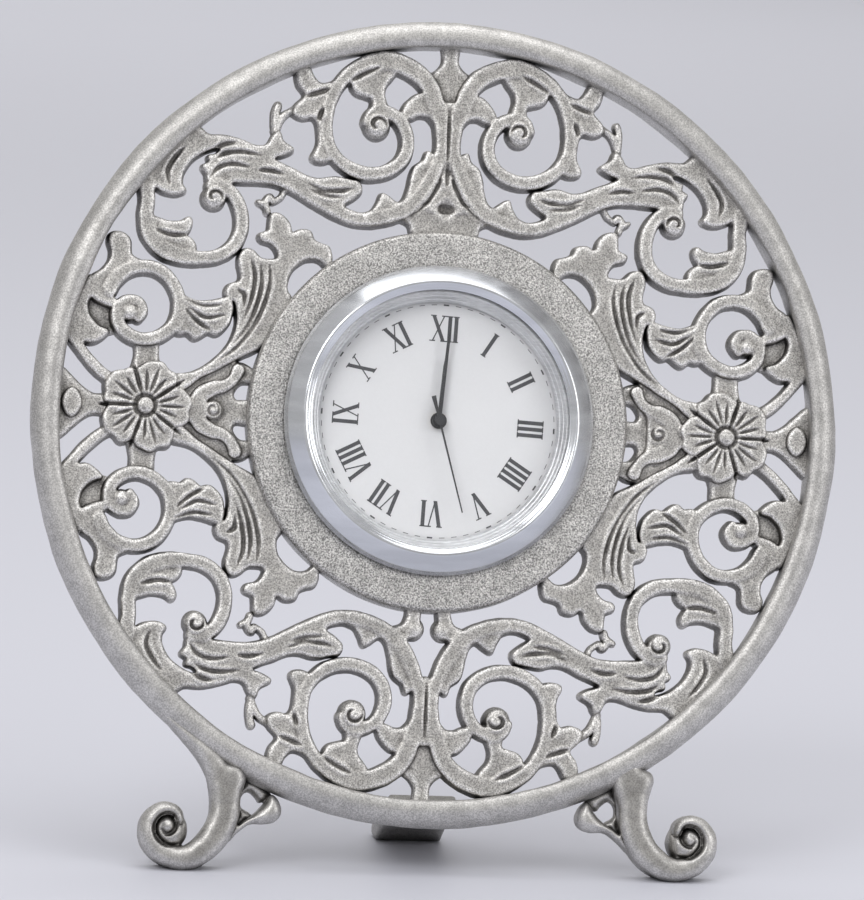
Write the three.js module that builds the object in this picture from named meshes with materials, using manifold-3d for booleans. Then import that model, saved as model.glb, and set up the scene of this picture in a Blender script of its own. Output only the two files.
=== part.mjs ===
// Pewter table clock: an openwork cast disc on two scroll feet and a rear leg, with a push-in quartz insert.
// Millimetres, +Z up, the dial looks along -Y. The disc is drawn lying in its own plane
// (u to the right, v up, n out of the front) and then leant back as a whole.
import * as THREE from 'three';
import { mergeVertices } from 'three/addons/utils/BufferGeometryUtils.js';
import Module from 'manifold-3d';

const wasm = await Module();
wasm.setup();

// Stance
const LEAN = 14;
const GAP = 0.3;
const REAR_REACH = 21;

// Disc
const RIM_R = 47.75;
const RIM_BAND = 3.35;
const RIM_DEPTH = 4.75;
const RIM_STEPS = 64;
const HOLE_R = 17.5;
const RING_BAND = 4.95;
const RING_BACK = 0.3;
const RING_THICK = 3.7;
const RING_STEPS = 48;
const RIM_IN = RIM_R - RIM_BAND;
const RING_R = HOLE_R + RING_BAND;
const RING_FRONT = RING_BACK + RING_THICK;

// Openwork
const PATTERN_TURN = -1.2;
const WORK_BACK = 0.6;
const BALL_N = 3.5;
const BAND_N = 3.1;
const LEAF_N = 2.8;
const LOW_N = 2.3;
const PETAL_N = 3.4;
const BUTTON_N = 4.0;
const TURN_STEP = 27;
const RUN_STEP = 4;

// Feet
const FOOT_ANGLE = 29.4;
const FOOT_HEIGHT = 10.8;
const FOOT_BACK = 0.6;
const FOOT_FRONT = 4.4;
const FOOT_STEP = 13;
const REAR_WIDTH = 8;
const REAR_PAD = 3.4;
const FLOOR_DROP = RIM_R * Math.cos(THREE.MathUtils.degToRad(FOOT_ANGLE)) + FOOT_HEIGHT;

// Insert: every radius follows from the hole in the ring
const INSERT_TURN = -3.1;
const INSERT_STEPS = 32;
const GRIP_THICK = 0.7;
const GRIP_BACK = RING_BACK + 0.2;
const GRIP_WIDE = 2.5;
const CASE_WALL = 1.2;
const LEDGE_WIDE = 1.4;
const LEDGE_THICK = 1.7;
const BEZEL_LAP = 0.75;
const BEZEL_RISE = 2.8;
const BEZEL_SLOPE = 2.15;
const BEZEL_LIP = 1.0;
const LENS_THICK = 0.8;
const DIAL_THICK = 0.4;
const DIAL_RING_WIDE = 0.7;
const GRIP_R = HOLE_R - GAP;
const CASE_R = GRIP_R - GRIP_THICK - GAP;
const CASE_IN = CASE_R - CASE_WALL;
const FIT_R = CASE_IN - GAP;
const LEDGE_R = CASE_IN - LEDGE_WIDE;
const BEZEL_R = HOLE_R + BEZEL_LAP;
const BEZEL_N = RING_FRONT + GAP;
const CREST_N = BEZEL_N + BEZEL_RISE;
const LENS_R = CASE_R - 0.5;
const LIP_N = CREST_N - 0.5;
const LENS_N = LIP_N - GAP - LENS_THICK;
const CASE_FRONT = LENS_N - GAP;
const DIAL_RING_N = CASE_FRONT - 1.3;
const DIAL_N = DIAL_RING_N - GAP - DIAL_THICK;
const LEDGE_FRONT = DIAL_N - GAP;
const LEDGE_BACK = LEDGE_FRONT - LEDGE_THICK;

// Movement levels, from the main plate to the back
const PLATE_THICK = 0.8;
const WHEEL_THICK = 0.4;
const PLATE_FRONT = LEDGE_BACK - GAP;
const PLATE_BACK = PLATE_FRONT - PLATE_THICK;
const CANNON_N = PLATE_FRONT + GAP;
const HOUR_N = CANNON_N + WHEEL_THICK + 0.4;
const CENTRE_N = PLATE_BACK - 0.8;
const THIRD_N = CENTRE_N - 1.0;
const SECONDS_N = THIRD_N - 1.0;
const STEP_N = SECONDS_N - 0.8;
const STATOR_N = SECONDS_N + 0.8;
const STATOR_THICK = 0.5;
const BRIDGE_FRONT = STEP_N - 0.5;
const BRIDGE_THICK = 0.6;
const BRIDGE_BACK = BRIDGE_FRONT - BRIDGE_THICK;
const COVER_THICK = 0.8;
const SPIGOT = 1.0;
const SPIGOT_WIDE = 1.0;
const CASE_BACK = BRIDGE_BACK - 1.0;
const COVER_FRONT = CASE_BACK - GAP;

// Train: tooth counts, centre distances and bearings of the arbors
const TEETH = {
  secondsPinion: 6, thirdWheel: 45, thirdPinion: 6, centreWheel: 48,
  stepPinion: 6, secondsWheel: 36, rotorPinion: 6, stepWheel: 30,
  cannon: 10, minuteWheel: 30, minutePinion: 8, hourWheel: 32,
};
const TIP = 0.4;
const ROOT = 0.85;
const ROOM_R = FIT_R - SPIGOT_WIDE;
const THIRD_CLEAR = 0.41;
const SETTING_CLEAR = 0.86;
const THIRD_AWAY = reach(ROOM_R - THIRD_CLEAR, TEETH.thirdWheel, TEETH.secondsPinion);
const SETTING_AWAY = reach(LEDGE_R - SETTING_CLEAR, TEETH.minuteWheel, TEETH.cannon);
const STEP_AWAY = SETTING_AWAY;
const ROTOR_AWAY = STEP_AWAY / 2;
const THIRD_AT = at(THIRD_AWAY, 90);
const STEP_AT = at(STEP_AWAY, -30);
const ROTOR_AT = at(ROTOR_AWAY, -110).add(STEP_AT);
const SETTING_AT = at(SETTING_AWAY, 225);
const RUN = 0.18;
const ARBOR_R = 0.18;
const PIPE_WALL = 0.14;
const SETTING_R = 0.5;
const PIPE_IN = ARBOR_R + RUN;
const PIPE_R = PIPE_IN + PIPE_WALL;
const HOUR_IN = PIPE_R + RUN;
const HOUR_R = HOUR_IN + PIPE_WALL;
const KNOB_R = 2.6;
const KNOB_TALL = 1.9;
const MAGNET_R = 1.2;
const PILLAR_R = 1.0;
const BRIDGE_HALF = 1.5;
const PILLARS = [36, 266, 142].map((turn) => at(ROOM_R - BRIDGE_HALF - GAP, turn).toArray());
const SCREW_R = 0.4;
const SECONDS_R = pitch(STEP_AWAY, TEETH.secondsWheel + 2 * TIP, TEETH.stepPinion - 2 * TIP);
const BATTERY_R = (ROOM_R - SECONDS_R) / 2 - GAP;
const BATTERY_AT = [BATTERY_R + GAP - ROOM_R, 0];

// Hands: lengths from the centre, and the time they show
const HAND_THICK = 0.15;
const HAND_STEP = 0.45;
const HOUR_LONG = 7.5;
const MINUTE_LONG = 11;
const SECOND_LONG = 11.2;
const SECOND_TAIL = 2.9;
const HOUR_TURN = 2.4;
const MINUTE_TURN = 2.7;
const SECOND_TURN = 162;
const HOUR_HAND_N = DIAL_N + DIAL_THICK + 0.45;
const MINUTE_HAND_N = HOUR_HAND_N + HAND_STEP;
const SECOND_HAND_N = MINUTE_HAND_N + HAND_STEP;

const pewter = { color: 0x9a9690, roughness: 0.5, metalness: 0.9 };
const chrome = { color: 0xd4d7da, roughness: 0.12, metalness: 1 };
const steel = { color: 0xb4b7ba, roughness: 0.35, metalness: 1 };
const brass = { color: 0xc2a25a, roughness: 0.35, metalness: 1 };
const blackSteel = { color: 0x2c2c2e, roughness: 0.45, metalness: 0.4 };
const whitePlastic = { color: 0xe9e9e6, roughness: 0.5, metalness: 0 };

// Direction and distance to a point of the disc's plane
function at(distance, degrees) {
  const turn = THREE.MathUtils.degToRad(degrees);
  return new THREE.Vector2(distance * Math.cos(turn), distance * Math.sin(turn));
}

// Welds a geometry and drops the empty facets that it leaves on an axis
function welded(geometry) {
  geometry.deleteAttribute('normal');
  geometry.deleteAttribute('uv');
  const whole = mergeVertices(geometry, 1e-4);
  const kept = [];
  for (let i = 0; i < whole.index.count; i += 3) {
    const [a, b, c] = [0, 1, 2].map((k) => whole.index.getX(i + k));
    if (a !== b && b !== c && c !== a) {
      kept.push(a, b, c);
    }
  }
  whole.setIndex(kept);
  return whole;
}

function solid(geometry) {
  const whole = welded(geometry);
  return new wasm.Manifold(new wasm.Mesh({
    numProp: 3,
    vertProperties: new Float32Array(whole.attributes.position.array),
    triVerts: new Uint32Array(whole.index.array),
  }));
}

function geometryOf(body) {
  const mesh = body.getMesh();
  const geometry = new THREE.BufferGeometry();
  geometry.setAttribute('position', new THREE.BufferAttribute(new Float32Array(mesh.vertProperties), 3));
  geometry.setIndex(new THREE.BufferAttribute(new Uint32Array(mesh.triVerts), 1));
  geometry.computeVertexNormals();
  return geometry;
}

function join(bodies) {
  return bodies.reduce((all, one) => all.add(one));
}

// A turned body about the disc's axis, from [radius, n] points listed round the section
function turned(section, steps, [u, v] = [0, 0]) {
  const points = section.map(([r, n]) => new THREE.Vector2(r, n));
  if (!THREE.ShapeUtils.isClockWise(points)) {
    if (points[0].x > 0) {
      points.push(points[0].clone());
    }
  }
  const geometry = new THREE.LatheGeometry(points, steps);
  geometry.rotateX(Math.PI / 2);
  geometry.translate(u, v, 0);
  return solid(geometry);
}

function rod(radius, low, high, steps, [u, v] = [0, 0]) {
  const geometry = new THREE.CylinderGeometry(radius, radius, high - low, steps);
  geometry.rotateX(Math.PI / 2);
  geometry.translate(u, v, (low + high) / 2);
  return solid(geometry);
}

function plate(shape, low, high) {
  const geometry = new THREE.ExtrudeGeometry(shape, { depth: high - low, bevelEnabled: false, steps: 1 });
  geometry.translate(0, 0, low);
  return solid(geometry);
}

function outline(points) {
  return new THREE.Shape(points.map(([u, v]) => new THREE.Vector2(u, v)));
}

function ringOf(radius, steps, [u, v]) {
  const points = [];
  for (let k = 0; k < steps; k += 1) {
    points.push(at(radius, (360 * k) / steps).add(new THREE.Vector2(u, v)));
  }
  return points;
}

function roundHole(radius, steps, centre) {
  return new THREE.Path(ringOf(radius, steps, centre));
}

// A pointed-tooth wheel: `face` is the bearing on which a tooth tip, or with `valley` a gap, stands
function wheel(teeth, pitchR, face, valley, low, [u, v] = [0, 0]) {
  const size = (2 * pitchR) / teeth;
  const half = 180 / teeth;
  const points = [];
  for (let k = 0; k < teeth; k += 1) {
    const turn = face + (valley ? half : 0) + 2 * half * k;
    points.push(at(pitchR + TIP * size, turn), at(pitchR - ROOT * size, turn + half));
  }
  const shape = new THREE.Shape(points.map((p) => new THREE.Vector2(p.x + u, p.y + v)));
  return plate(shape, low, low + WHEEL_THICK);
}

function pitch(away, teeth, mate) {
  return (away * teeth) / (teeth + mate);
}

// Centre distance at which a wheel on the far arbor just fills the room
function reach(room, teeth, mate) {
  return room / (1 + (teeth + 2 * TIP) / (teeth + mate));
}

// The ornament is drawn on a sheet with the ring at 22.45 and the rim at 44.4. A point moves along its
// radius so that the drawing fills the real opening, and widths grow with it.
const WORK_SCALE = (RIM_IN - RING_R) / (44.4 - 22.45);

function fitted([u, v]) {
  const r = Math.hypot(u, v);
  const fit = (RING_R + (r - 22.45) * WORK_SCALE) / r;
  return [u * fit, v * fit];
}

// A drawn stem with a width of its own at each point, as one closed outline
function stem(line, wider = 0, step = TURN_STEP) {
  const points = line.map(([u, v, half]) => new THREE.Vector3(u, v, half + wider));
  const fine = new THREE.CatmullRomCurve3(points, false, 'centripetal').getPoints((line.length - 1) * 8);
  const last = fine.length - 1;
  const heading = (a, b) => Math.atan2(fine[b].y - fine[a].y, fine[b].x - fine[a].x);
  const picked = [0];
  let turn = 0;
  let run = 0;
  for (let i = 1; i < last; i += 1) {
    const change = heading(i, i + 1) - heading(i - 1, i);
    turn += Math.abs(Math.atan2(Math.sin(change), Math.cos(change)));
    run += Math.hypot(fine[i].x - fine[i - 1].x, fine[i].y - fine[i - 1].y);
    if (turn >= THREE.MathUtils.degToRad(step) || run >= RUN_STEP) {
      picked.push(i);
      turn = 0;
      run = 0;
    }
  }
  picked.push(last);
  const left = [];
  const right = [];
  for (const i of picked) {
    const way = heading(Math.max(i - 1, 0), Math.min(i + 1, last));
    const { x, y, z } = fine[i];
    left.push([x - z * Math.sin(way), y + z * Math.cos(way)]);
    right.push([x + z * Math.sin(way), y - z * Math.cos(way)]);
  }
  const tip = (i, way, sign) => [
    fine[i].x + sign * 0.8 * fine[i].z * Math.cos(way),
    fine[i].y + sign * 0.8 * fine[i].z * Math.sin(way),
  ];
  return [...left, tip(last, heading(last - 1, last), 1), ...right.reverse(), tip(0, heading(0, 1), -1)];
}

// Upper quarter of the great scrolls, drawn to the right of the axis: u, v and half width
const GREAT_SCROLL = [
  [9.9, 35.0, 0.4], [9.2, 36.2, 0.55], [7.6, 36.5, 0.65], [5.7, 35.4, 0.7], [4.8, 33.2, 0.75],
  [5.2, 31.1, 0.75], [6.7, 29.6, 0.75], [8.8, 28.95, 0.75], [11.0, 29.25, 0.75], [12.8, 30.3, 0.7],
  [13.95, 31.9, 0.62], [14.4, 34.0, 0.58], [14.25, 36.4, 0.6], [13.6, 38.6, 0.68], [12.4, 40.4, 0.75],
  [10.3, 41.9, 0.9], [7.8, 42.6, 1.05], [5.3, 42.0, 1.1], [3.3, 40.8, 1.05], [2.0, 39.0, 0.95],
  [1.3, 36.8, 0.85], [0.95, 34.6, 0.65], [0.85, 32.6, 0.6], [1.1, 30.6, 0.65], [1.9, 28.5, 0.75],
  [3.1, 26.5, 0.8], [4.8, 24.9, 0.8], [6.9, 23.9, 0.75], [9.0, 23.45, 0.7],
];
const GREAT_BALL = [8.5, 34.3, 1.65];
const INNER_LEAF = [
  [6.0, 41.6], [8.5, 42.0], [10.6, 41.2], [12.0, 39.7], [11.4, 38.8], [10.2, 38.2], [9.0, 37.9],
  [8.7, 36.6], [7.6, 36.6], [7.9, 38.3], [7.4, 39.6], [6.2, 40.5],
];
const ROUND_LOBE = [
  [1.0, 38.6], [2.4, 38.5], [3.4, 38.8], [4.6, 38.2], [5.4, 37.0], [5.9, 36.1], [5.0, 35.2],
  [4.2, 35.9], [3.0, 36.0], [2.0, 35.4], [1.3, 34.6], [0.8, 35.5],
];
const UPPER_TUFT = [
  [13.4, 39.8], [14.6, 38.95], [15.7, 38.9], [16.3, 39.7], [17.2, 41.0], [18.1, 40.8], [17.8, 39.3],
  [17.6, 38.3], [17.2, 37.5], [18.0, 36.6], [18.5, 35.6], [17.8, 34.9], [16.2, 35.0], [15.2, 35.2],
  [14.6, 34.6], [14.1, 35.0], [14.0, 37.5],
];
const LOWER_TUFT = [
  [14.4, 34.4], [15.3, 33.5], [15.4, 32.0], [15.8, 30.8], [15.6, 30.1], [14.3, 30.1], [13.1, 30.4],
  [13.6, 32.0],
];
const AXIS_LEAF = [
  [0.8, 32.5], [1.5, 31.6], [2.4, 32.1], [2.8, 31.0], [3.8, 30.2], [4.2, 29.2], [4.5, 27.6],
  [5.0, 26.2], [5.7, 25.7], [6.6, 26.3], [7.6, 26.8], [8.0, 25.8], [8.7, 24.6], [9.6, 24.1],
  [8.5, 23.2], [6.5, 23.6], [4.5, 24.8], [2.6, 26.8], [1.3, 29.0], [0.6, 31.0],
];
const ACANTHUS = [
  [7.6, 23.1], [10.0, 22.7], [12.0, 23.1], [14.0, 24.0], [16.0, 25.0], [18.0, 26.1], [20.0, 26.9],
  [22.0, 27.1], [23.8, 27.0], [26.0, 27.1], [27.6, 27.5], [28.3, 28.8], [27.7, 30.1], [26.8, 30.8],
  [25.4, 31.25], [27.0, 31.05], [28.8, 30.4], [30.3, 29.2], [31.2, 27.6], [31.2, 26.4], [30.7, 25.7],
  [31.8, 25.15], [33.2, 25.3], [34.4, 26.0], [35.2, 27.4], [33.4, 29.8], [31.6, 31.7], [29.8, 33.4],
  [28.4, 32.5], [26.5, 32.5], [24.5, 32.1], [22.5, 31.5], [21.4, 31.7], [20.7, 32.9], [20.0, 33.3],
  [19.5, 32.2], [18.2, 31.3], [19.3, 30.6], [20.6, 30.1], [19.5, 29.5], [18.0, 28.9], [16.5, 28.2],
  [15.0, 28.0], [13.3, 28.4], [11.6, 28.1], [10.3, 27.8], [10.0, 26.8], [10.9, 25.9], [12.1, 25.0],
  [11.4, 24.5], [9.8, 24.2], [8.4, 24.6],
];
const SECOND_SCROLL = [
  [28.0, 26.4, 0.5], [26.6, 26.5, 0.6], [25.2, 25.6, 0.7], [24.2, 23.7, 0.75], [24.0, 21.5, 0.75],
  [24.8, 19.5, 0.75], [26.5, 18.2, 0.75], [28.5, 17.8, 0.75], [31.0, 17.8, 0.8], [33.2, 18.6, 0.9],
  [34.8, 20.3, 0.9], [35.3, 22.5, 0.8], [35.2, 24.5, 0.8], [35.5, 26.6, 0.9],
];
const SECOND_BALL = [27.3, 25.0, 1.35];
const SECOND_LOBES = [
  [34.6, 22.3], [32.5, 21.9], [31.0, 22.1], [30.2, 22.6], [29.8, 21.9], [30.1, 21.0], [30.5, 20.4],
  [29.8, 20.0], [29.2, 19.0], [29.6, 18.2], [31.0, 17.8], [33.2, 18.6], [34.8, 20.3],
];
const AXIS_STEM = [
  [0.85, 45.0], [0.8, 43.0], [1.4, 42.0], [2.3, 41.2], [1.5, 39.4], [0.7, 37.6], [0.5, 36.0],
  [0.5, 31.0],
];
const PALMETTE = [
  [0.6, 30.6], [1.4, 28.4], [2.7, 26.4], [4.2, 24.9], [5.6, 24.0], [4.2, 23.3], [3.7, 22.0],
];
const PALMETTE_BOSS = [0, 25.2, 1.25];
const LOWER_KNOB = [1.8, 24.4, 1.2];
const KNOB_NECK = [[1.7, 21.9, 0.8], [1.8, 23.0, 0.75], [2.4, 24.6, 0.9], [4.2, 25.2, 0.8]];

// Upper half of a flower panel, drawn to the right of the disc
const FAN_LEAF = [
  [32.5, 3.2], [31.0, 3.9], [29.0, 4.3], [27.0, 5.5], [25.2, 7.3], [24.2, 9.5], [24.1, 11.5],
  [24.5, 13.0], [25.5, 13.6], [25.2, 14.8], [24.0, 15.4], [23.9, 16.2], [24.2, 18.0], [23.5, 19.2],
  [22.5, 19.0], [21.6, 18.2], [20.5, 18.1], [19.6, 18.3], [19.8, 19.3], [20.5, 20.0], [21.6, 20.3],
  [21.9, 21.0], [20.8, 21.5], [20.7, 22.3], [20.5, 23.5], [19.5, 23.5], [18.4, 22.5], [18.0, 21.3],
  [17.0, 21.8], [15.8, 21.6], [15.4, 20.7], [14.5, 20.3], [13.6, 20.0], [13.2, 18.9], [13.4, 17.4],
  [14.6, 18.35], [16.0, 18.4], [17.3, 17.6], [18.2, 16.2], [18.3, 14.6], [17.7, 13.6], [18.6, 12.0],
  [19.8, 10.0], [20.8, 8.0], [21.6, 7.3], [23.2, 6.5], [24.6, 5.7], [26.2, 4.7], [28.2, 3.6],
  [30.5, 2.0],
];
const THIRD_SCROLL = [
  [36.4, 12.4, 0.4], [37.7, 11.7, 0.55], [38.0, 10.1, 0.68], [37.0, 8.5, 0.7], [35.0, 7.8, 0.7],
  [32.9, 8.4, 0.7], [31.3, 10.0, 0.7], [30.9, 12.3, 0.7], [31.6, 14.4, 0.7], [33.1, 15.9, 0.7],
  [35.0, 16.4, 0.7], [37.0, 15.9, 0.7], [38.5, 14.6, 0.75], [39.1, 13.3, 0.7],
];
const THIRD_BALL = [35.4, 11.3, 1.3];
const THREE_LOBES = [
  [31.0, 13.9], [29.4, 12.9], [27.5, 12.3], [25.8, 12.3], [23.9, 11.6], [24.4, 10.3], [25.6, 9.6],
  [26.6, 9.3], [27.0, 8.5], [28.2, 8.3], [29.2, 8.6], [31.4, 9.4],
];
const LEAF_TO_RIM = [
  [36.2, 16.2], [36.0, 17.8], [36.6, 18.7], [37.3, 19.9], [38.6, 20.4], [39.6, 20.5], [39.5, 19.4],
  [39.1, 18.4], [38.7, 17.4], [39.2, 16.4], [40.2, 15.4], [41.6, 15.6], [42.3, 13.9], [41.2, 13.3],
  [40.2, 12.4], [39.2, 12.2], [38.4, 13.0], [38.2, 14.4],
];
const RIM_LEAF = [
  [41.9, 14.9], [43.4, 11.0], [44.3, 7.4], [43.2, 7.0], [41.8, 6.6], [40.4, 6.9], [39.4, 7.7],
  [38.2, 8.7], [38.3, 9.6], [39.4, 9.3], [40.3, 9.0], [41.0, 9.8], [41.3, 11.2], [41.3, 13.2],
];
const NECK = [[34.4, 8.2, 1.4], [34.4, 6.4, 1.3], [34.4, 4.2, 1.7]];
const STRAND = [[37.8, 2.6, 0.6], [39.6, 3.7, 0.55], [41.2, 5.2, 0.55], [42.6, 6.9, 0.55], [43.8, 8.4, 0.6]];
const HOOK_PLATE = [
  [21.8, 1.2], [23.8, 1.35], [24.1, 2.2], [23.2, 3.4], [21.9, 3.6], [21.6, 4.6], [22.9, 5.6],
  [24.6, 5.6], [27.0, 4.3], [31.6, 2.4],
];
const HOOK_BOSS = [26.4, 0, 1.3];
const HOOK_CURL = [
  [24.3, 2.7, 0.5], [26.4, 2.5, 0.6], [28.0, 1.3, 0.65], [28.3, -0.2, 0.65], [27.4, -1.8, 0.65],
  [25.8, -2.6, 0.6], [24.3, -2.5, 0.5],
];
const FLOWER_AT = [34.4, 0];
const FLOWER_R = 5.0;
const FLOWER_NOTCH = 3.2;
const FLOWER_BUTTON_R = 1.1;
const BUD_NECK = [
  [38.2, 1.0], [40.4, 1.1], [41.8, 1.9], [43.0, 3.0], [44.6, 4.2], [44.8, 0],
];
const BUD = [42.5, 0, 1.2];

// One quarter's outline put on its own side of the disc
function drawn(points, [across, up]) {
  return outline(points.map((p) => fitted(p)).map(([u, v]) => [u * across, v * up]));
}

function drawnStem(line, [across, up], wider = 0) {
  const fit = line.map(([u, v, half]) => [...fitted([u, v]), half * WORK_SCALE]);
  return outline(stem(fit, wider).map(([u, v]) => [u * across, v * up]));
}

function drawnBall([u, v, radius], [across, up], high) {
  const [fu, fv] = fitted([u, v]);
  return rod(radius * WORK_SCALE, WORK_BACK, high, 10, [fu * across, fv * up]);
}

// A half outline and its mirror image across the disc's vertical (or level) axis, as one shape
function mirrored(points, [across, up], level) {
  const flip = level ? ([u, v]) => [u, -v] : ([u, v]) => [-u, v];
  return drawn([...points, ...points.map(flip).reverse()], [across, up]);
}

const clearOfRim = turned([
  [RIM_IN - GAP, -5], [RIM_R + 30, -5], [RIM_R + 30, 15], [RIM_IN - GAP, 15],
], RIM_STEPS);
const clearOfRing = rod(RING_R + GAP, -5, 15, RING_STEPS);
const quarterTurn = (body) => body.subtract(clearOfRim).subtract(clearOfRing);

function scrollPanel(up) {
  const parts = [];
  for (const side of [[1, up], [-1, up]]) {
    parts.push(plate(drawnStem(GREAT_SCROLL, side), WORK_BACK, BAND_N));
    parts.push(plate(drawnStem(SECOND_SCROLL, side), WORK_BACK, BAND_N));
    parts.push(drawnBall(GREAT_BALL, side, BALL_N));
    parts.push(drawnBall(SECOND_BALL, side, BALL_N));
    for (const leaf of [INNER_LEAF, ROUND_LOBE, UPPER_TUFT, LOWER_TUFT, AXIS_LEAF, ACANTHUS, SECOND_LOBES]) {
      parts.push(plate(drawn(leaf, side), WORK_BACK, LEAF_N));
    }
    if (up < 0) {
      parts.push(drawnBall(LOWER_KNOB, side, BAND_N));
      parts.push(plate(drawnStem(KNOB_NECK, side), WORK_BACK, LEAF_N));
    }
  }
  parts.push(plate(mirrored(AXIS_STEM, [1, up], false), WORK_BACK, LOW_N));
  if (up > 0) {
    parts.push(plate(mirrored(PALMETTE, [1, up], false), WORK_BACK, LOW_N));
    parts.push(drawnBall(PALMETTE_BOSS, [1, up], BALL_N));
  }
  return quarterTurn(join(parts));
}

function flowerShape([across]) {
  const [u, v] = fitted(FLOWER_AT);
  const points = [];
  const steps = 30;
  for (let k = 0; k < steps; k += 1) {
    const turn = (360 * k) / steps;
    const swell = Math.sqrt(Math.abs(Math.cos(THREE.MathUtils.degToRad(2.5 * (turn - 180)))));
    const p = at(WORK_SCALE * (FLOWER_NOTCH + (FLOWER_R - FLOWER_NOTCH) * swell), turn);
    points.push([(u + p.x) * across, v + p.y]);
  }
  return outline(points);
}

function flowerPanel(across) {
  const parts = [
    plate(flowerShape([across]), WORK_BACK, PETAL_N),
    drawnBall([...FLOWER_AT, FLOWER_BUTTON_R], [across, 1], BUTTON_N),
    plate(mirrored(HOOK_PLATE, [across, 1], true), WORK_BACK, LOW_N),
    plate(drawnStem(HOOK_CURL, [across, 1]), WORK_BACK, LEAF_N),
    drawnBall(HOOK_BOSS, [across, 1], BAND_N),
    plate(mirrored(BUD_NECK, [across, 1], true), WORK_BACK, LOW_N),
    drawnBall(BUD, [across, 1], BAND_N),
  ];
  let clear = null;
  for (const side of [[across, 1], [across, -1]]) {
    parts.push(plate(drawnStem(THIRD_SCROLL, side), WORK_BACK, BAND_N));
    parts.push(drawnBall(THIRD_BALL, side, BALL_N));
    parts.push(plate(drawnStem(NECK, side), WORK_BACK, LOW_N));
    parts.push(plate(drawnStem(STRAND, side), WORK_BACK, LOW_N));
    for (const leaf of [FAN_LEAF, THREE_LOBES, LEAF_TO_RIM, RIM_LEAF]) {
      parts.push(plate(drawn(leaf, side), WORK_BACK, LEAF_N));
    }
    const scroll = plate(drawnStem(SECOND_SCROLL, side, GAP), WORK_BACK - 1, BALL_N + 1);
    clear = clear ? clear.add(scroll) : scroll;
  }
  return quarterTurn(join(parts).subtract(clear));
}

// Front foot, drawn 10.8 tall on the right, from the point where it leaves the rim
const FOOT_STEM = [
  [-0.44, 1.45, 2.6], [-0.14, -0.55, 1.75], [-0.04, -2.25, 1.55], [0.16, -4.25, 1.55],
  [0.86, -6.45, 1.6], [2.16, -8.5, 1.7], [3.86, -9.9, 1.8], [5.86, -10.2, 1.75], [7.76, -9.35, 1.4],
  [8.96, -8.0, 1.1], [9.26, -6.4, 0.9], [8.56, -5.3, 0.8], [7.46, -4.95, 0.75], [6.46, -5.35, 0.7],
  [5.96, -6.15, 0.6],
];
const FOOT_SPUR = [
  [-0.84, -7.55], [-1.84, -6.45], [-3.04, -5.95], [-4.24, -5.9], [-5.24, -6.15], [-6.04, -5.95],
  [-6.29, -5.35], [-6.29, -4.45], [-6.14, -2.4], [-4.84, -2.0], [-3.64, -3.8], [-2.44, -4.35],
  [-1.54, -4.75], [-0.24, -5.3],
];
const VOLUTE = [7.66, -6.65, 2.1];
const VOLUTE_BALL = [7.26, -6.5, 1.15];

// The ground, as a slab in the disc's own leaning frame
function ground() {
  const slab = new THREE.BoxGeometry(4 * RIM_R, RIM_R, 4 * RIM_R);
  slab.translate(0, -RIM_R / 2, 0);
  slab.rotateX(THREE.MathUtils.degToRad(LEAN));
  slab.translate(0, -FLOOR_DROP, 0);
  return solid(slab);
}

function frontFoot(across) {
  const root = at(RIM_R, FOOT_ANGLE - 90);
  const put = ([u, v]) => [(u + root.x) * across, v * (FOOT_HEIGHT / 10.8) + root.y];
  const round = ([u, v, radius], high) => rod(radius, FOOT_BACK, high, 16, put([u, v]));
  return join([
    plate(outline(stem(FOOT_STEM, 0, FOOT_STEP).map(put)), FOOT_BACK, FOOT_FRONT),
    plate(outline(FOOT_SPUR.map(put)), FOOT_BACK, FOOT_FRONT - 0.6),
    round(VOLUTE, FOOT_FRONT - 1.2),
    round(VOLUTE_BALL, FOOT_FRONT - 0.4),
  ]).subtract(rod(RIM_R + GAP, -5, 15, RIM_STEPS)).subtract(ground());
}

// Rear leg: a low arched tongue from the back of the rim to a flat pad, cut from the side view
function rearFoot() {
  const lean = THREE.MathUtils.degToRad(LEAN);
  const side = (v, n) => [
    v * Math.sin(lean) - n * Math.cos(lean),
    (v + FLOOR_DROP) * Math.cos(lean) + n * Math.sin(lean),
  ];
  const inner = side(-(RIM_IN + 0.25 * RIM_BAND), -GAP);
  const outer = side(-(RIM_IN + 0.9 * RIM_BAND), -GAP);
  const front = side(-FLOOR_DROP, (FOOT_BACK + FOOT_FRONT) / 2)[0];
  const rest = front + REAR_REACH;
  const shape = outline([
    outer, [outer[0] + 4.0, outer[1] + 0.2], [rest - 5.5, 2.2], [rest - REAR_PAD / 2, 0],
    [rest + REAR_PAD / 2, 0], [rest + REAR_PAD / 2 + 0.4, 1.2], [rest - 1.0, 3.6],
    [rest - 6.0, 5.2], [inner[0] + 4.0, inner[1] + 0.9], inner,
  ]);
  const geometry = new THREE.ExtrudeGeometry(shape, { depth: REAR_WIDTH, bevelEnabled: false, steps: 1 });
  geometry.translate(0, 0, -REAR_WIDTH / 2);
  geometry.rotateX(Math.PI / 2);
  geometry.rotateZ(Math.PI / 2);
  return solid(geometry);
}

// Rim section: share of the band inwards from the outer edge, and share of the depth
const RIM_SECTION = [
  [1, 0.1], [0.85, 0], [0.4, 0], [0.12, 0.14], [0, 0.42], [0.08, 0.7], [0.26, 0.89], [0.52, 1],
  [0.78, 1], [1, 0.9],
];

function outerRim() {
  return turned(RIM_SECTION.map(([share, deep]) => [RIM_R - share * RIM_BAND, deep * RIM_DEPTH]), RIM_STEPS);
}

function innerRing() {
  return turned([
    [HOLE_R, RING_BACK], [RING_R, RING_BACK], [RING_R, RING_FRONT - 0.4], [RING_R - 0.4, RING_FRONT],
    [HOLE_R, RING_FRONT],
  ], RING_STEPS);
}

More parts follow.
